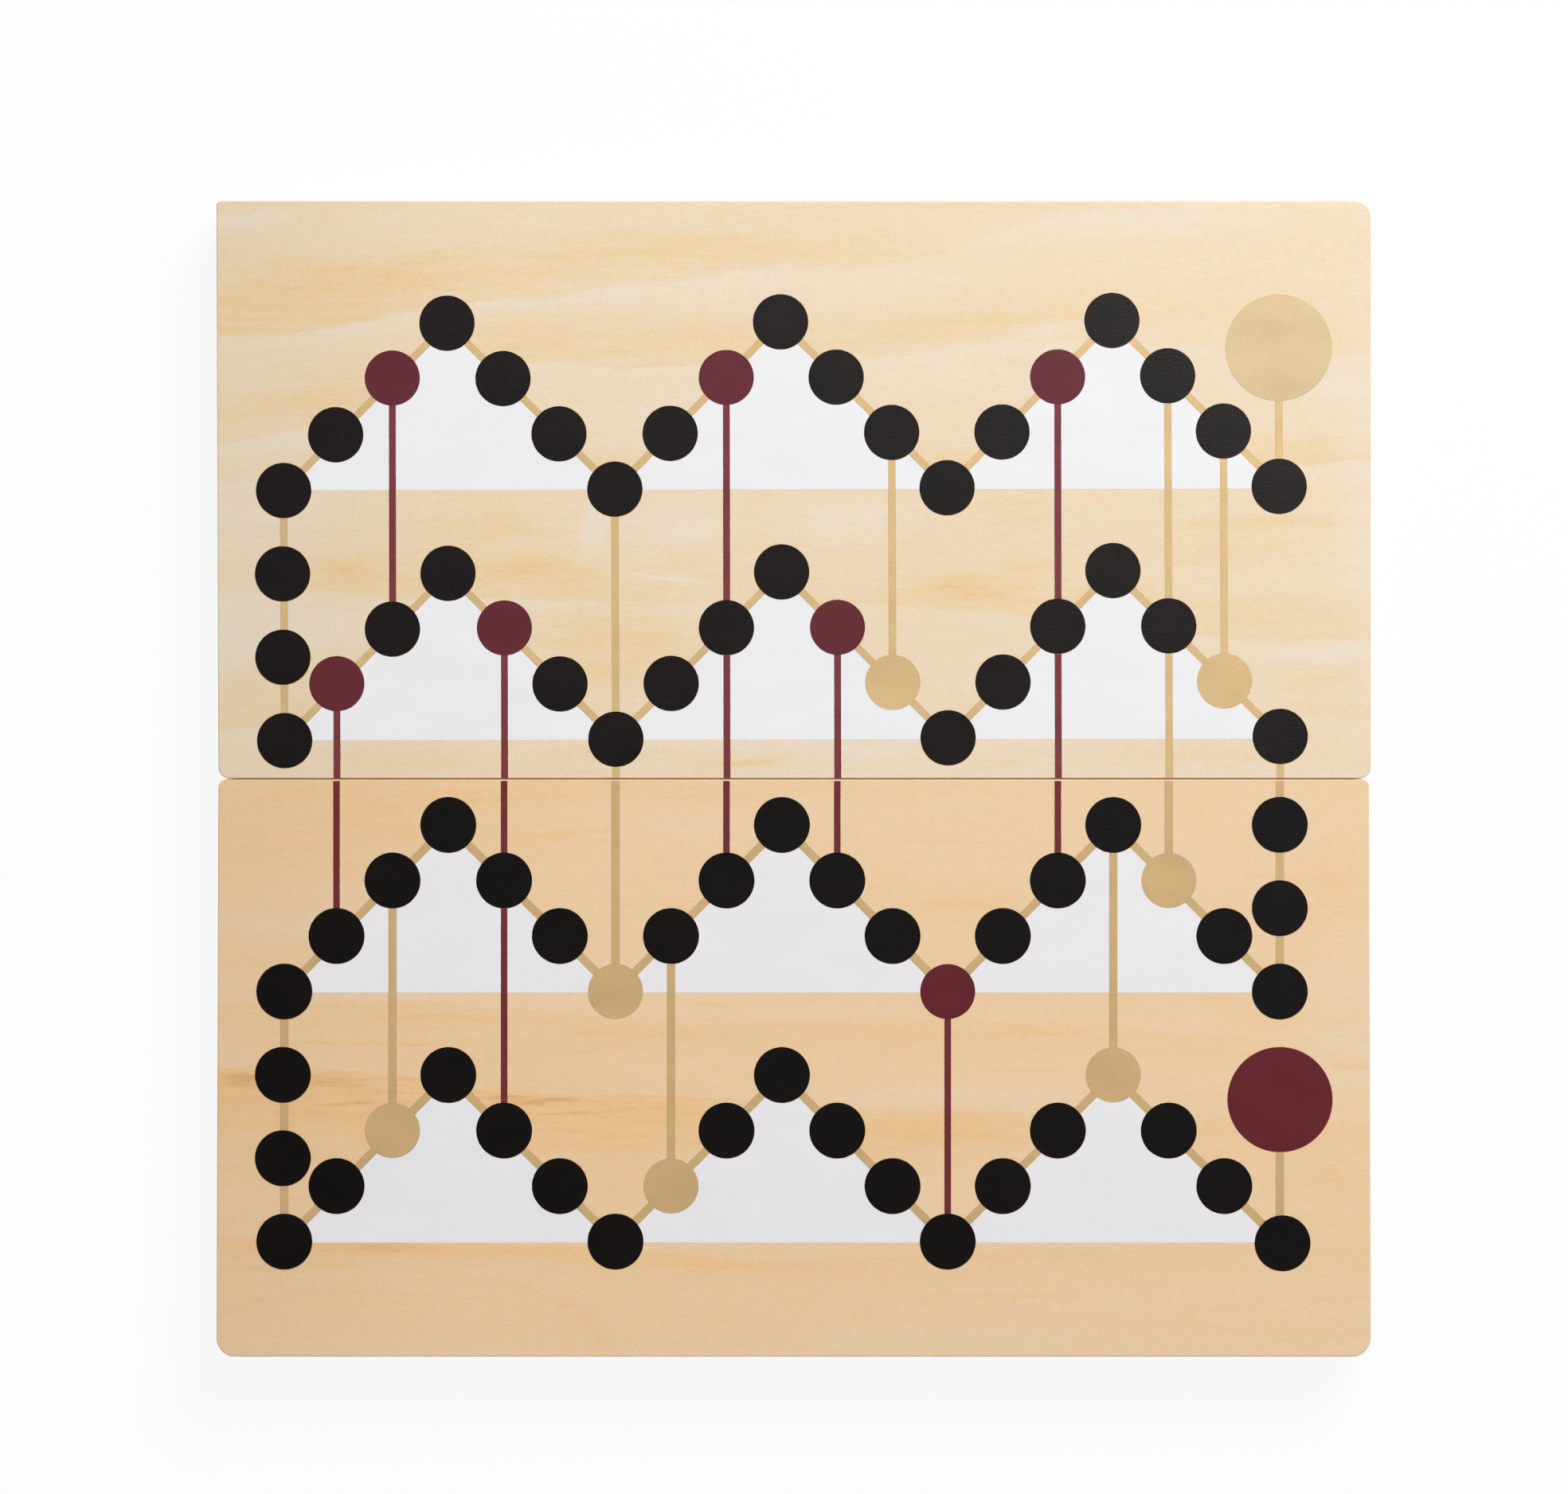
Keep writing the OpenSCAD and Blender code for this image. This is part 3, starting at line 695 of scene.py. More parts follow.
# In mm: half the blur between two plies, and from where to where a glue line and the painted shade
# at the seam fade out. The shares say how much of its own colour each of them shows
PLY_BLUR = 0.04
GLUE_FADE = (0.02, 0.07)
SEAM_SHADE_FADE = (0.06, 0.26)
CORE_SHARE = 0.75
GLUE_SHARE = 0.7
SEAM_SHADE_SHARE = 0.8
# How squarely a rail's face has to look along its grain to show end grain
END_GRAIN = (0.6, 0.9)
# How strong a face's figure is where it is broken up and where it isn't, times its contrast
BROKEN = (0.5, 1.5)


def plies(graph, height, face, wood):
    """The face's colour, with the core ply and the glue lines where the height meets them."""
    low = (PANEL_Z + wood.veneer) * PER_METRE
    high = (FACE_Z - wood.veneer) * PER_METRE
    above = graph.between(height, low - PLY_BLUR, low + PLY_BLUR)
    below = graph.between(height, high - PLY_BLUR, high + PLY_BLUR, 1.0, 0.0)
    core = graph.mix(CORE_SHARE, face, wood.core)
    toned = graph.mix(graph.times(above, below), face, core)
    for level in (low, high):
        away = graph.math("ABSOLUTE", graph.minus(height, level))
        toned = graph.mix(graph.between(away, *GLUE_FADE, GLUE_SHARE, 0.0), toned, wood.glue)
    return toned


def panel_material(half, wood):
    """Clear-coated plywood: a figured face, and the plies along its edges."""
    material, graph, shader, spot = new_material(f"{half}_plywood")
    look = FACES[half]
    drift = graph.spread(graph.noise(spot, 0.03, 0.08, 4.0, 0.6), 6.0, 0.0)
    swayed = graph.move("ADD", spot, graph.node("CombineXYZ", {"Y": drift}).outputs[0])
    figure = rings(graph, swayed, look["rings"])
    figure = graph.plus(figure, streaks(graph, swayed, look["streaks"], "Mask"))
    figure = graph.plus(figure, streaks(graph, swayed, look["arcs"], "Line"))
    break_up = graph.noise(spot, 0.05, 0.6, 3.0, 0.6)
    broken = graph.between(break_up, 0.25, 0.75, *(look["contrast"] * part for part in BROKEN))
    face = graph.place(shared("wood_grain"), {
        "Vector": graph.turn(spot, getattr(wood, f"{half}_tilt"), invert=True),
        "Figure": graph.times(figure, broken),
        "Pale": getattr(wood, f"{half}_pale"),
        "Warm": getattr(wood, f"{half}_warm"),
        "Line": wood.line,
        "Base": look["base"],
        "Bands": 0.22,
        "Strokes": look["strokes"],
        "Fibres": 0.38,
    })
    parts = graph.parts(spot)
    # Painted shade: the face darkens towards its left end, where the light falls off
    left_end = -HALF_L * PER_METRE
    faded = graph.between(parts["X"], left_end, left_end + wood.end_fade * PER_METRE)
    left_end_painted_shade = graph.mix(faded, wood.end_tone, (1, 1, 1))
    toned = graph.mix(1.0, face["Color"], left_end_painted_shade, "MULTIPLY")
    toned = plies(graph, parts["Z"], toned, wood)
    # Painted shade: the wood right at the seam turns dark brown, where shade falls into the gap
    from_seam = graph.math("ABSOLUTE", parts["Y"])
    toned = graph.mix(graph.between(from_seam, *SEAM_SHADE_FADE, SEAM_SHADE_SHARE, 0.0), toned, wood.seam)
    dress(graph, shader, face, toned, relief=0.25, depth=0.04)
    shader.inputs["Specular IOR Level"].default_value = 0.3
    return material


def rail_material(name, quarter_turn, offset, wood):
    """Solid rail wood with its grain along X, or along Y after a quarter turn."""
    material, graph, shader, spot = new_material(name)
    turned = graph.turn(spot, math.pi / 2 if quarter_turn else 0.0)
    grain = graph.place(shared("wood_grain"), {
        "Vector": graph.move("ADD", turned, (offset,) * 3),
        "Figure": 0.0,
        "Pale": wood.rail_pale,
        "Warm": wood.rail_warm,
        "Line": wood.line,
        "Base": 0.5,
        "Bands": 0.8,
        "Strokes": 1.2,
        "Fibres": 0.36,
    })
    normal = graph.parts(graph.node("TexCoord").outputs["Normal"])
    facing = graph.math("ABSOLUTE", normal["Y" if quarter_turn else "X"])
    end_tone = graph.mix(1.0, grain["Color"], wood.rail_end, "MULTIPLY")
    toned = graph.mix(graph.between(facing, *END_GRAIN), grain["Color"], end_tone)
    dress(graph, shader, grain, toned, relief=0.35, depth=0.06)
    shader.inputs["Specular IOR Level"].default_value = 0.35
    return material


# Each ink's rim, speckle, colour and strength of its flecks, and relief
INK_LOOKS = {
    "white": (0.0, 0.13, (1, 1, 1), 0.0, 0.3),
    "gold": (0.4, 0.5, srgb(250, 226, 180), 0.3, 0.3),
    "burgundy": (0.45, 0.7, srgb(130, 70, 76), 0.15, 0.3),
    "red": (0.0, 0.5, (1, 1, 1), 0.0, 0.3),
    "black": (0.8, 3.0, srgb(100, 92, 86), 0.12, 0.9),
}
INK_GLOSS = 0.35
NEAR_BLACK_GLOSS = 0.29


def ink_material(name, look, ink, rim, flake=0.0, gloss=INK_GLOSS):
    """Ink of one colour, with its rim toned by the mesh's own rim attribute."""
    material, graph, shader, spot = new_material(name)
    rim_strength, speckle, fleck, flecks, relief = INK_LOOKS[look]
    edge = graph.node("Attribute", attribute_name="rim", attribute_type="GEOMETRY").outputs["Fac"]
    finish = graph.place(shared("printed_ink"), {
        "Vector": spot,
        "Ink": ink,
        "Rim Color": rim,
        "Rim": graph.times(edge, rim_strength),
        "Speckle": speckle,
        "Fleck": fleck,
        "Flecks": flecks,
    })
    dress(graph, shader, finish, finish["Color"], relief, depth=0.03)
    shader.inputs["Specular IOR Level"].default_value = gloss
    shader.inputs["Metallic"].default_value = flake
    return material


def metal_material(name, clean, dull, patches):
    """Metal with fine working lines and dull patches."""
    material, graph, shader, spot = new_material(name)
    fields = {"Vector": spot, "Clean": clean, "Dull": dull, "Patches": patches}
    finish = graph.place(shared("worked_metal"), fields)
    dress(graph, shader, finish, finish["Color"], relief=0.15, depth=0.02)
    shader.inputs["Metallic"].default_value = 1.0
    return material


WELD = 0.000001
FLAT_ANGLE = math.radians(1)
SHARP_ANGLE = math.radians(32)
EASE_STEPS = 3
# How much of the gap below the seam the hinge rails close at their rims
SEAM_LEAN = 0.95
# How far from an end the wood is drawn in
END_REACH = 6 * MM


def finish_piece(bm, name, body, material, nodes):
    """Turns a bmesh into a piece that rides on its half and stands for its CAD nodes."""
    mesh = bpy.data.meshes.new(name)
    bm.to_mesh(mesh)
    bm.free()
    mesh.materials.append(material)
    piece = bpy.data.objects.new(name, mesh)
    bpy.context.scene.collection.objects.link(piece)
    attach(piece, f"{body}_half")
    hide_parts(*nodes)


def joined_copy(node):
    """A bmesh of a CAD node with its loose triangles joined into whole faces."""
    bm = bmesh.new()
    bm.from_mesh(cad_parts[node].data)
    bmesh.ops.remove_doubles(bm, verts=bm.verts, dist=WELD)
    bmesh.ops.dissolve_limit(bm, angle_limit=FLAT_ANGLE, verts=bm.verts, edges=bm.edges)
    for face in bm.faces:
        bends = [e.calc_face_angle(0) for e in face.edges]
        face.smooth = any(FLAT_ANGLE < bend < SHARP_ANGLE for bend in bends)
    return bm


def ease_edges(bm, radius):
    """Rounds the edges at which two faces meet at a real corner, and shades them as smooth."""
    sharp = [e for e in bm.edges if len(e.link_faces) == 2 and e.calc_face_angle(0) > SHARP_ANGLE]
    eased = bmesh.ops.bevel(
        bm,
        geom=sharp,
        offset=radius,
        affect="EDGES",
        segments=EASE_STEPS,
        profile=0.5,
        clamp_overlap=True,
        material=-1,
    )
    for face in eased["faces"]:
        face.smooth = True


def dress_node(node, body, material, finish, radius):
    """Makes a CAD node into a piece of its own with eased edges, named by its finish."""
    bm = joined_copy(node)
    ease_edges(bm, radius)
    finish_piece(bm, f"{node}_{finish}", body, material, [node])


def close_seam(bm, half):
    """Leans the seam side of a hinge rail towards its partner, so that no light comes through."""
    towards = -1 if half == "far" else 1
    for vert in bm.verts:
        if abs(vert.co.y) < SEAM_Y + WELD:
            depth = (PANEL_Z - vert.co.z) / (PANEL_Z - RIM_Z)
            vert.co.y += towards * SEAM_Y * SEAM_LEAN * depth


def close_panel(bm, wood):
    """Brings the seam side of a play panel closer to its partner."""
    for vert in bm.verts:
        if abs(vert.co.y) < SEAM_Y + WELD:
            vert.co.y *= wood.seam_gap / (2 * SEAM_Y)


def draw_in_ends(bm, half, wood):
    """Draws the ends of a half's wood in towards the seam, as they are sanded by hand."""
    left_in = getattr(wood, f"{half}_left_in")
    right_in = wood.near_right_in if half == "near" else 0.0
    for vert in bm.verts:
        near_seam = 1 - (abs(vert.co.y) - SEAM_Y) / HALF_D
        from_left = vert.co.x + HALF_L
        from_right = HALF_L - vert.co.x
        vert.co.x += left_in * near_seam * max(0.0, 1 - from_left / END_REACH)
        vert.co.x -= right_in * near_seam * max(0.0, 1 - from_right / END_REACH)


class Track:
    """Where the marks of the print lie, worked out from the print's settings."""

    def __init__(self, marks):
        self.marks = marks
        self.step = (2 * HALF_L - marks.left - marks.right) / LAST_COLUMN
        self.lowest_row = -SEAM_Y - HALF_D + marks.near
        highest_row = SEAM_Y + HALF_D - marks.far - FLANK * self.step
        self.row_pitch = (highest_row - self.lowest_row - marks.seam) / (LAST_ROW - 1)

    def column_x(self, column):
        shift = self.marks.first_column_in if column == 0 else 0.0
        shift += self.marks.bow * max(BOW_LOWEST, 1 - ((column - BOW_MIDDLE) / BOW_REACH) ** 2)
        return -HALF_L + self.marks.left + column * self.step + shift

    def row_y(self, row):
        above_seam = self.marks.seam if row in HALF_ROWS["far"] else 0.0
        return self.lowest_row + (LAST_ROW - row) * self.row_pitch + above_seam

    def space(self, row, column):
        rise = FLANK - abs(column % (2 * FLANK) - FLANK)
        return Vector((self.column_x(column), self.row_y(row) + rise * self.step))

    def stem(self, half):
        """Ends of the bar that leads from a half's corner space to the middle of its big disc."""
        foot = self.space(1 if half == "far" else LAST_ROW, LAST_COLUMN)
        top = foot + Vector((0, getattr(self.marks, f"{half}_disc_rise")))
        return [self.turned(half, end, "gold") for end in (foot, top)]

    def spaces(self, half, ink):
        """Middles of a half's spaces of one ink."""
        found = []
        for row in HALF_ROWS[half]:
            for column in range(LAST_COLUMN + 1):
                is_gold = column in GOLD_SPACES.get(row, ())
                is_burgundy = column in BURGUNDY_SPACES.get(row, ())
                own = "gold" if is_gold else "burgundy" if is_burgundy else "black"
                if own == ink:
                    found.append(self.space(row, column))
        if ink == "black":
            if half == "near":
                found[-1] += Vector((self.marks.last_right, -self.marks.last_down))
            found += self.loose_spaces(half)
        return [self.turned(half, point, ink) for point in found]

    def loose_spaces(self, half):
        """Middles of the black spaces that lie on a half between two rows."""
        found = []
        for column, _, lower in RISERS:
            left = self.marks.riser_left if column == 0 else 0.0
            for number in range(1, RISER_SPACES + 1):
                y = self.row_y(lower) + number * self.row_pitch / (RISER_SPACES + 1)
                if (y > 0) == (half == "far"):
                    found.append(Vector((self.column_x(column) - left, y)))
        return found

    def bars(self, half, rows, ink):
        """Ends of the bars between rows, as far as they lie on a half."""
        found = []
        for column, upper, lower in rows:
            ends = self.space(upper, column), self.space(lower, column)
            ends = [self.turned(half, end, ink) for end in ends]
            found.append(self.on_half(half, *ends))
        return [ends for ends in found if ends]

    def track_lines(self, half):
        """Ends of the lines that join a half's spaces in order."""
        found = []
        for row in HALF_ROWS[half]:
            for column in range(0, LAST_COLUMN, FLANK):
                ends = self.space(row, column), self.space(row, column + FLANK)
                found.append([self.turned(half, end, "gold") for end in ends])
        return found

    def peaks(self, half):
        """Corners of the white fillings."""
        drop = Vector((0, -self.marks.white_drop))
        found = []
        for row in HALF_ROWS[half]:
            for column in range(FLANK, LAST_COLUMN, 2 * FLANK):
                corners = [self.space(row, column + k) + drop for k in (-FLANK, FLANK, 0)]
                found.append([self.turned(half, corner, "white") for corner in corners])
        return found

    def turned(self, half, point, ink):
        """A point as its ink is printed: on the far half each ink is a little askew."""
        if half == "near":
            return point
        on_track = ink in ("black", "gold")
        turn = self.marks.far_track_turn if on_track else self.marks.far_white_turn
        left = 0.0 if ink == "burgundy" else self.marks.far_left
        middle = Vector((0, SEAM_Y + HALF_D / 2))
        return middle + Matrix.Rotation(turn, 2) @ (point - middle) - Vector((left, 0))

    def on_half(self, half, upper, lower):
        """The stretch of a bar that lies on a half, clear of the seam, or None."""
        edge = SEAM_Y + getattr(self.marks, f"{half}_bare")
        run = lower - upper
        if half == "far":
            if upper.y < edge:
                return None
            reach = min(1.0, (edge - upper.y) / run.y)
            return [upper, upper + run * reach]
        if lower.y > -edge:
            return None
        skipped = max(0.0, (-edge - upper.y) / run.y)
        return [upper + run * skipped, lower]


# A ragged edge has a vertex at each step, and strays in noise whose features are a grain long
FRAY_STEP = 0.3 * MM
FRAY_GRAIN = 0.9 * MM
BIG_DISC_SEED = 9
# A face whose normal points up by more than this lies on top of its film
TOP_NORMAL = 0.9

# Each kind of mark: the height of its film above the play face, so that what is printed later
# lies on top, and how ragged it is as a share of the setting
MARKS = {
    "white": (0.03 * MM, 0.2),
    "gold_bar": (0.045 * MM, 0.7),
    "gold_space": (0.055 * MM, 0.7),
    "burgundy_bar": (0.065 * MM, 1.0),
    "red_edge": (0.065 * MM, 0.0),
    "burgundy_space": (0.075 * MM, 1.0),
    "under_black": (0.085 * MM, 0.5),
    "black": (0.1 * MM, 1.0),
}


class Film:
    """Marks of one ink on one half, raised off the play face into a piece."""

    def __init__(self, marks, half, ink):
        self.marks = marks
        self.half = half
        self.ink = ink
        self.bm = bmesh.new()
        self.bm.verts.layers.float.new("rim")

    def stray(self, kind, point, seed):
        """How far the ragged edge of a kind of mark strays at a point."""
        amount = self.marks.ragged * MARKS[kind][1]
        return amount * noise.noise(Vector((point.x / FRAY_GRAIN, point.y / FRAY_GRAIN, seed)))

    def thicken(self, kind, faces):
        """Raises flat faces into a closed film, and insets its top by the width of its rim."""
        raised = bmesh.ops.extrude_face_region(self.bm, geom=faces, use_keep_orig=True)["geom"]
        verts = [item for item in raised if isinstance(item, bmesh.types.BMVert)]
        top = [item for item in raised if isinstance(item, bmesh.types.BMFace)]
        bmesh.ops.translate(self.bm, vec=(0, 0, MARKS[kind][0]), verts=verts)
        bmesh.ops.inset_region(
            self.bm, faces=top, thickness=self.marks.rim, use_boundary=True, use_even_offset=True
        )

    def add_discs(self, kind, centres, diameter, first_seed=0):
        """Round marks with slightly ragged edges."""
        sides = round(math.pi * diameter / FRAY_STEP)
        for seed, centre in enumerate(centres, first_seed):
            place = Matrix.Translation((centre.x, centre.y, FACE_Z))
            made = bmesh.ops.create_circle(
                self.bm, cap_ends=True, segments=sides, radius=diameter / 2, matrix=place
            )["verts"]
            face = made[0].link_faces[0]
            for vert in made:
                out = (vert.co.xy - centre).normalized()
                vert.co.xy += out * self.stray(kind, vert.co, seed)
            self.thicken(kind, [face])

    def add_bars(self, kind, bars, width):
        """Straight bars with ragged sides."""
        for seed, (start, end) in enumerate(bars):
            run = end - start
            steps = max(2, round(run.length / FRAY_STEP))
            turn = Matrix.Rotation(math.atan2(run.y, run.x), 4, "Z")
            middle = (start + end) / 2
            sized = Matrix.Diagonal((run.length, width, 1, 1))
            place = Matrix.Translation((middle.x, middle.y, FACE_Z)) @ turn @ sized
            made = bmesh.ops.create_grid(
                self.bm, x_segments=steps, y_segments=1, size=0.5, matrix=place
            )["verts"]
            faces = list({face for vert in made for face in vert.link_faces})
            side = Vector((-run.y, run.x)).normalized()
            for vert in made:
                out = side if (vert.co.xy - middle).dot(side) > 0 else -side
                vert.co.xy += out * self.stray(kind, vert.co, seed)
            self.thicken(kind, faces)

    def add_filling(self, kind, corners, seed):
        """A filled area with the given corners."""
        face = self.bm.faces.new([self.bm.verts.new((*corner, FACE_Z)) for corner in corners])
        longest = max(edge.calc_length() for edge in face.edges)
        cuts = round(longest / (2 * FRAY_STEP))
        bmesh.ops.subdivide_edges(self.bm, edges=list(face.edges), cuts=cuts)
        for vert in face.verts:
            vert.co.y += self.stray(kind, vert.co, seed)
        self.thicken(kind, [face])

    def finish(self, name, material):
        """Writes 1 on the outer edges of each mark and 0 inside them, and makes the piece."""
        bmesh.ops.recalc_face_normals(self.bm, faces=self.bm.faces)
        layer = self.bm.verts.layers.float["rim"]
        for vert in self.bm.verts:
            inside = all(face.normal.z > TOP_NORMAL for face in vert.link_faces)
            vert[layer] = 0.0 if inside else 1.0
        node = f"{self.half}_{self.ink}_print"
        finish_piece(self.bm, name, self.half, material, [node])


SIDES = ("outer", "hinge", "left", "right")
# How far apart two rails lie in the same noise, in mm, so that their grain differs
GRAIN_STEP = 37.0


class BOARD_OT_play_panels(bpy.types.Operator):
    """Build both plywood play panels"""

    bl_idname = "board.play_panels"
    bl_label = "Play panels"

    def execute(self, context):
        wood = context.scene.board_wood
        for half in HALVES:
            bm = joined_copy(f"{half}_play_panel")
            draw_in_ends(bm, half, wood)
            close_panel(bm, wood)
            ease_edges(bm, wood.ease)
            material = panel_material(half, wood)
            finish_piece(
                bm, f"{half}_panel_plywood", half, material, [f"{half}_play_panel"]
            )
        return {"FINISHED"}


class BOARD_OT_rails(bpy.types.Operator):
    """Build the finger-jointed rails of both frames"""

    bl_idname = "board.rails"
    bl_label = "Rails"

    def execute(self, context):
        wood = context.scene.board_wood
        rails = [(half, side) for half in HALVES for side in SIDES]
        for number, (half, side) in enumerate(rails, 1):
            node = f"{half}_{side}_rail"
            bm = joined_copy(node)
            draw_in_ends(bm, half, wood)
            if side == "hinge":
                close_seam(bm, half)
            ease_edges(bm, wood.joint_ease)
            quarter_turn = side in ("left", "right")
            material = rail_material(f"{node}_wood", quarter_turn, GRAIN_STEP * number, wood)
            finish_piece(bm, f"{node}_wood", half, material, [node])
        return {"FINISHED"}


class BOARD_OT_white_print(bpy.types.Operator):
    """Build the white fillings below the track"""

    bl_idname = "board.white_print"
    bl_label = "White print"

    def execute(self, context):
        marks = context.scene.board_print
        track = Track(marks)
        for seed, half in enumerate(HALVES):
            white = getattr(marks, f"{half}_white")
            film = Film(marks, half, "white")
            for corners in track.peaks(half):
                film.add_filling("white", corners, seed)
            ink = ink_material(f"{half}_white_ink", "white", white, white)
            film.finish(f"{half}_white_peaks", ink)
        return {"FINISHED"}


class BOARD_OT_gold_print(bpy.types.Operator):
    """Build the gold track lines, bars, spaces and the big gold disc"""

    bl_idname = "board.gold_print"
    bl_label = "Gold print"

    def execute(self, context):
        marks = context.scene.board_print
        track = Track(marks)
        for half in HALVES:
            # The far half's brighter gold is partly painted sheen
            ink = self.gold(f"{half}_gold_ink", getattr(marks, f"{half}_gold"), marks)
            stem = track.stem(half)
            film = Film(marks, half, "gold")
            bars = [*track.track_lines(half), *track.bars(half, RISERS + GOLD_BARS, "gold"), stem]
            film.add_bars("gold_bar", bars, getattr(marks, f"{half}_gold_w"))
            film.finish(f"{half}_gold_bars", ink)

            film = Film(marks, half, "gold")
            spaces = track.spaces(half, "gold")
            film.add_discs("gold_space", spaces, getattr(marks, f"{half}_space_d"))
            shift = Vector((marks.halo_shift, -marks.halo_shift))
            below = [centre + shift for centre in track.spaces(half, "black")]
            film.add_discs("under_black", below, getattr(marks, f"{half}_black_d"))
            film.finish(f"{half}_gold_spaces", ink)

            if half == "far":
                # The big disc's paler gold is partly painted sheen
                film = Film(marks, half, "gold")
                film.add_discs("gold_space", stem[1:], marks.far_disc_d, BIG_DISC_SEED)
                film.finish("far_gold_disc", self.gold("far_disc_ink", marks.disc_gold_and_sheen, marks))
        return {"FINISHED"}

    def gold(self, name, tone, marks):
        """Gold ink of a tone."""
        return ink_material(name, "gold", tone, marks.gold_rim, flake=marks.gold_flake)


class BOARD_OT_burgundy_print(bpy.types.Operator):
    """Build the burgundy bars, spaces and the big burgundy disc"""

    bl_idname = "board.burgundy_print"
    bl_label = "Burgundy print"

    def execute(self, context):
        marks = context.scene.board_print
        track = Track(marks)
        for half in HALVES:
            inks = {}
            for kind in ("bar", "burgundy"):
                tone = getattr(marks, f"{half}_{kind}")
                name = f"{half}_burgundy_{kind}_ink"
                inks[kind] = ink_material(name, "burgundy", tone, marks.burgundy_rim)
            film = Film(marks, half, "burgundy")
            bars = track.bars(half, BURGUNDY_BARS, "burgundy")
            film.add_bars("burgundy_bar", bars, getattr(marks, f"{half}_burgundy_w"))
            film.finish(f"{half}_burgundy_bars", inks["bar"])

            disc = track.stem(half)[1:]
            film = Film(marks, half, "burgundy")
            spaces = track.spaces(half, "burgundy")
            film.add_discs("burgundy_space", spaces, getattr(marks, f"{half}_space_d"))
            if half == "near":
                film.add_discs("burgundy_space", disc, marks.near_disc_d, BIG_DISC_SEED)
            film.finish(f"{half}_burgundy_spaces", inks["burgundy"])

            if half == "near":
                red = ink_material("red_edge_ink", "red", marks.red_edge, marks.red_edge)
                shift = Vector((marks.red_shift, -marks.red_shift))
                film = Film(marks, half, "burgundy")
                below = [centre + shift for centre in disc]
                film.add_discs("red_edge", below, marks.near_disc_d, BIG_DISC_SEED)
                film.finish("near_disc_edge", red)
        return {"FINISHED"}


class BOARD_OT_black_print(bpy.types.Operator):
    """Build the black spaces of the track"""

    bl_idname = "board.black_print"
    bl_label = "Black print"

    def execute(self, context):
        marks = context.scene.board_print
        track = Track(marks)
        for half in HALVES:
            black = getattr(marks, f"{half}_black")
            gloss = INK_GLOSS if half == "far" else NEAR_BLACK_GLOSS
            ink = ink_material(f"{half}_black_ink", "black", black, marks.black_rim, gloss=gloss)
            film = Film(marks, half, "black")
            film.add_discs("black", track.spaces(half, "black"), getattr(marks, f"{half}_black_d"))
            film.finish(f"{half}_black_spaces", ink)
        return {"FINISHED"}


class BOARD_OT_hinges(bpy.types.Operator):
    """Build the leaves and pins of both hinges"""

    bl_idname = "board.hinges"
    bl_label = "Hinges"

    def execute(self, context):
        metal = context.scene.board_metal
        brass = metal_material("hinge_brass", metal.brass, metal.brass_dull, patches=0.6)
        wire = metal_material("pin_steel", metal.steel, metal.steel, patches=0.0)
        ease = metal.leaf_ease
        for hinge in ("left_hinge", "right_hinge"):
            for half in HALVES:
                dress_node(f"{hinge}_{half}_leaf", half, brass, "brass", ease)
            dress_node(f"{hinge}_pin", "far", wire, "wire", ease)
        return {"FINISHED"}


class BOARD_OT_screws(bpy.types.Operator):
    """Build the slotted screws of the hinges"""

    bl_idname = "board.screws"
    bl_label = "Screws"

    def execute(self, context):
        metal = context.scene.board_metal
        brass = metal_material("screw_brass", metal.brass, metal.brass_dull, patches=0.8)
        for half in HALVES:
            node = f"{half}_hinge_screws"
            dress_node(node, half, brass, "brass", metal.screw_ease)
        return {"FINISHED"}


class BOARD_OT_magnets(bpy.types.Operator):
    """Build the plated magnets in the outer rails"""

    bl_idname = "board.magnets"
    bl_label = "Magnets"

    def execute(self, context):
        metal = context.scene.board_metal
        plating = metal_material("magnet_nickel", metal.nickel, metal.steel, patches=0.3)
        for half in HALVES:
            dress_node(f"{half}_magnets", half, plating, "nickel", metal.magnet_ease)
        return {"FINISHED"}


FLOOR_HALF = 3.0
PAPER = (0.9, 0.9, 0.9)
# How much of the floor that is seen directly glows
FLOOR_GLOW = 0.9
# Where each light stands, and how wide it is
LIGHTS = {
    "key": ((0.5, 0.85, 1.25), 0.9),
    "fill": ((-0.9, -1.3, 0.7), 1.2),
}
# How bright the room is in reflections from overhead, and how high up that starts and is full
CEILING_GLOW = 0.05
CEILING_FROM = (0.4, 0.85)
SENSOR_MM = 36
CLIP = (0.01, 20)


def seen_directly(graph):
    """1 for rays that show the background: from the camera, in reflections and through glass."""
    path = graph.node("LightPath").outputs
    seen = graph.math("MAXIMUM", path["Is Camera Ray"], path["Is Glossy Ray"])
    return graph.math("MAXIMUM", seen, path["Is Transmission Ray"])


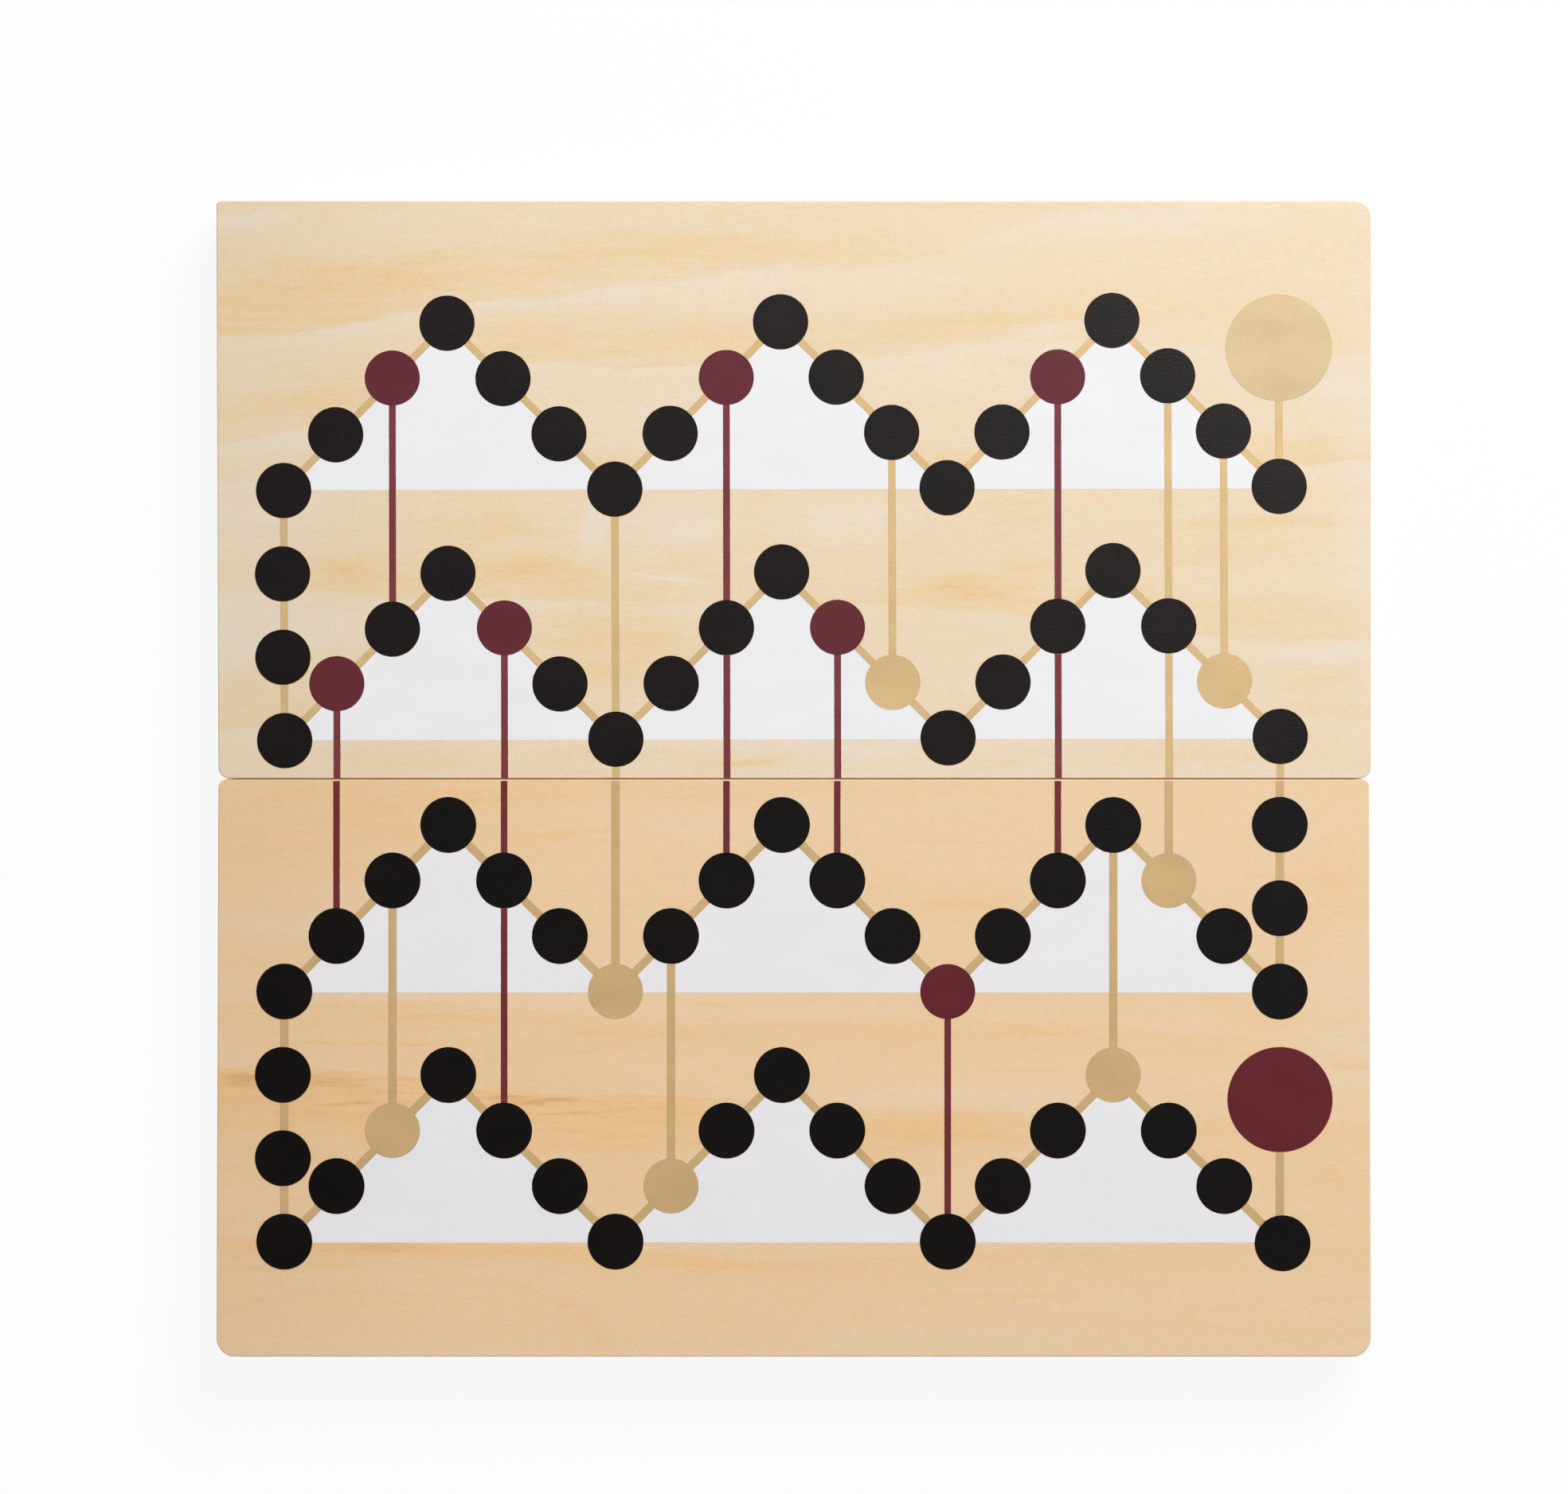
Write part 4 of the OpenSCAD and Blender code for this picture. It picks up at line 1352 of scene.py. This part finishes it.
class BOARD_OT_studio(bpy.types.Operator):
    """Build the pale floor, the soft lights and the camera straight above"""

    bl_idname = "board.studio"
    bl_label = "Studio"

    def execute(self, context):
        studio = context.scene.board_studio
        self.add_floor()
        self.add_lights(studio)
        self.add_world(context.scene, studio)
        self.add_camera(context.scene, studio)
        context.scene.view_settings.view_transform = "Standard"
        return {"FINISHED"}

    def add_floor(self):
        bm = bmesh.new()
        place = Matrix.Translation((0, 0, FLOOR_Z))
        bmesh.ops.create_grid(bm, x_segments=1, y_segments=1, size=FLOOR_HALF, matrix=place)
        mesh = bpy.data.meshes.new("studio_floor")
        bm.to_mesh(mesh)
        bm.free()
        material = bpy.data.materials.new("studio_floor")
        material.use_nodes = True
        graph = Graph(material.node_tree)
        nodes = material.node_tree.nodes
        nodes.remove(nodes["Principled BSDF"])
        paper = graph.node("BsdfDiffuse", {"Color": PAPER})
        glow = graph.node("Emission", {"Color": (1, 1, 1), "Strength": 1.0})
        shown = graph.times(seen_directly(graph), FLOOR_GLOW)
        blend = graph.node("MixShader", {0: shown, 1: paper.outputs[0], 2: glow.outputs[0]})
        graph.feed(nodes["Material Output"].inputs["Surface"], blend.outputs[0])
        mesh.materials.append(material)
        floor = bpy.data.objects.new("studio_floor", mesh)
        bpy.context.scene.collection.objects.link(floor)

    def add_lights(self, studio):
        powers = {"key": studio.key_power, "fill": studio.fill_power}
        for name, (place, size) in LIGHTS.items():
            light = bpy.data.lights.new(f"{name}_light", "AREA")
            light.shape = "SQUARE"
            light.size = size
            light.energy = powers[name]
            lamp = bpy.data.objects.new(f"{name}_light", light)
            lamp.location = place
            lamp.rotation_mode = "QUATERNION"
            lamp.rotation_quaternion = (-Vector(place)).to_track_quat("-Z", "Y")
            bpy.context.scene.collection.objects.link(lamp)

    def add_world(self, scene, studio):
        world = bpy.data.worlds.new("studio_room")
        world.use_nodes = True
        graph = Graph(world.node_tree)
        backdrop = world.node_tree.nodes["Background"]
        graph.feed(backdrop.inputs["Color"], (1, 1, 1))
        direction = graph.node("TexCoord").outputs["Generated"]
        height = graph.parts(direction)["Z"]
        reflected = graph.node("LightPath").outputs["Is Glossy Ray"]
        overhead = graph.times(reflected, graph.between(height, *CEILING_FROM))
        shown = graph.node("Mix", {0: overhead, 2: 1.0, 3: CEILING_GLOW}).outputs[0]
        strength = graph.node("Mix", {0: seen_directly(graph), 2: studio.room, 3: shown})
        graph.feed(backdrop.inputs["Strength"], strength.outputs[0])
        scene.world = world

    def add_camera(self, scene, studio):
        data = bpy.data.cameras.new("camera")
        data.sensor_width = SENSOR_MM
        data.lens = data.sensor_width * studio.camera_rise / studio.frame_w
        data.clip_start, data.clip_end = CLIP
        camera = bpy.data.objects.new("camera", data)
        camera.location = (studio.camera_x, studio.camera_y, FACE_Z + studio.camera_rise)
        scene.collection.objects.link(camera)
        scene.camera = camera


OPERATORS = (
    BOARD_OT_play_panels,
    BOARD_OT_rails,
    BOARD_OT_white_print,
    BOARD_OT_gold_print,
    BOARD_OT_burgundy_print,
    BOARD_OT_black_print,
    BOARD_OT_hinges,
    BOARD_OT_screws,
    BOARD_OT_magnets,
    BOARD_OT_studio,
)


class BOARD_PT_builder(bpy.types.Panel):
    """Buttons that build the board, in order"""

    bl_idname = "BOARD_PT_builder"
    bl_label = "Race board"
    bl_space_type = "VIEW_3D"
    bl_region_type = "UI"
    bl_category = "Race board"

    def draw(self, context):
        for operator in OPERATORS:
            self.layout.operator(operator.bl_idname)


def register():
    for cls in (*SETTINGS.values(), *OPERATORS, BOARD_PT_builder):
        bpy.utils.register_class(cls)
    for name, group in SETTINGS.items():
        setattr(bpy.types.Scene, name, PointerProperty(type=group))


def unregister():
    for name in SETTINGS:
        delattr(bpy.types.Scene, name)
    for cls in reversed((*SETTINGS.values(), *OPERATORS, BOARD_PT_builder)):
        bpy.utils.unregister_class(cls)


def main():
    register()
    for operator in OPERATORS:
        group, name = operator.bl_idname.split(".")
        getattr(getattr(bpy.ops, group), name)()


if __name__ == "__main__":
    main()
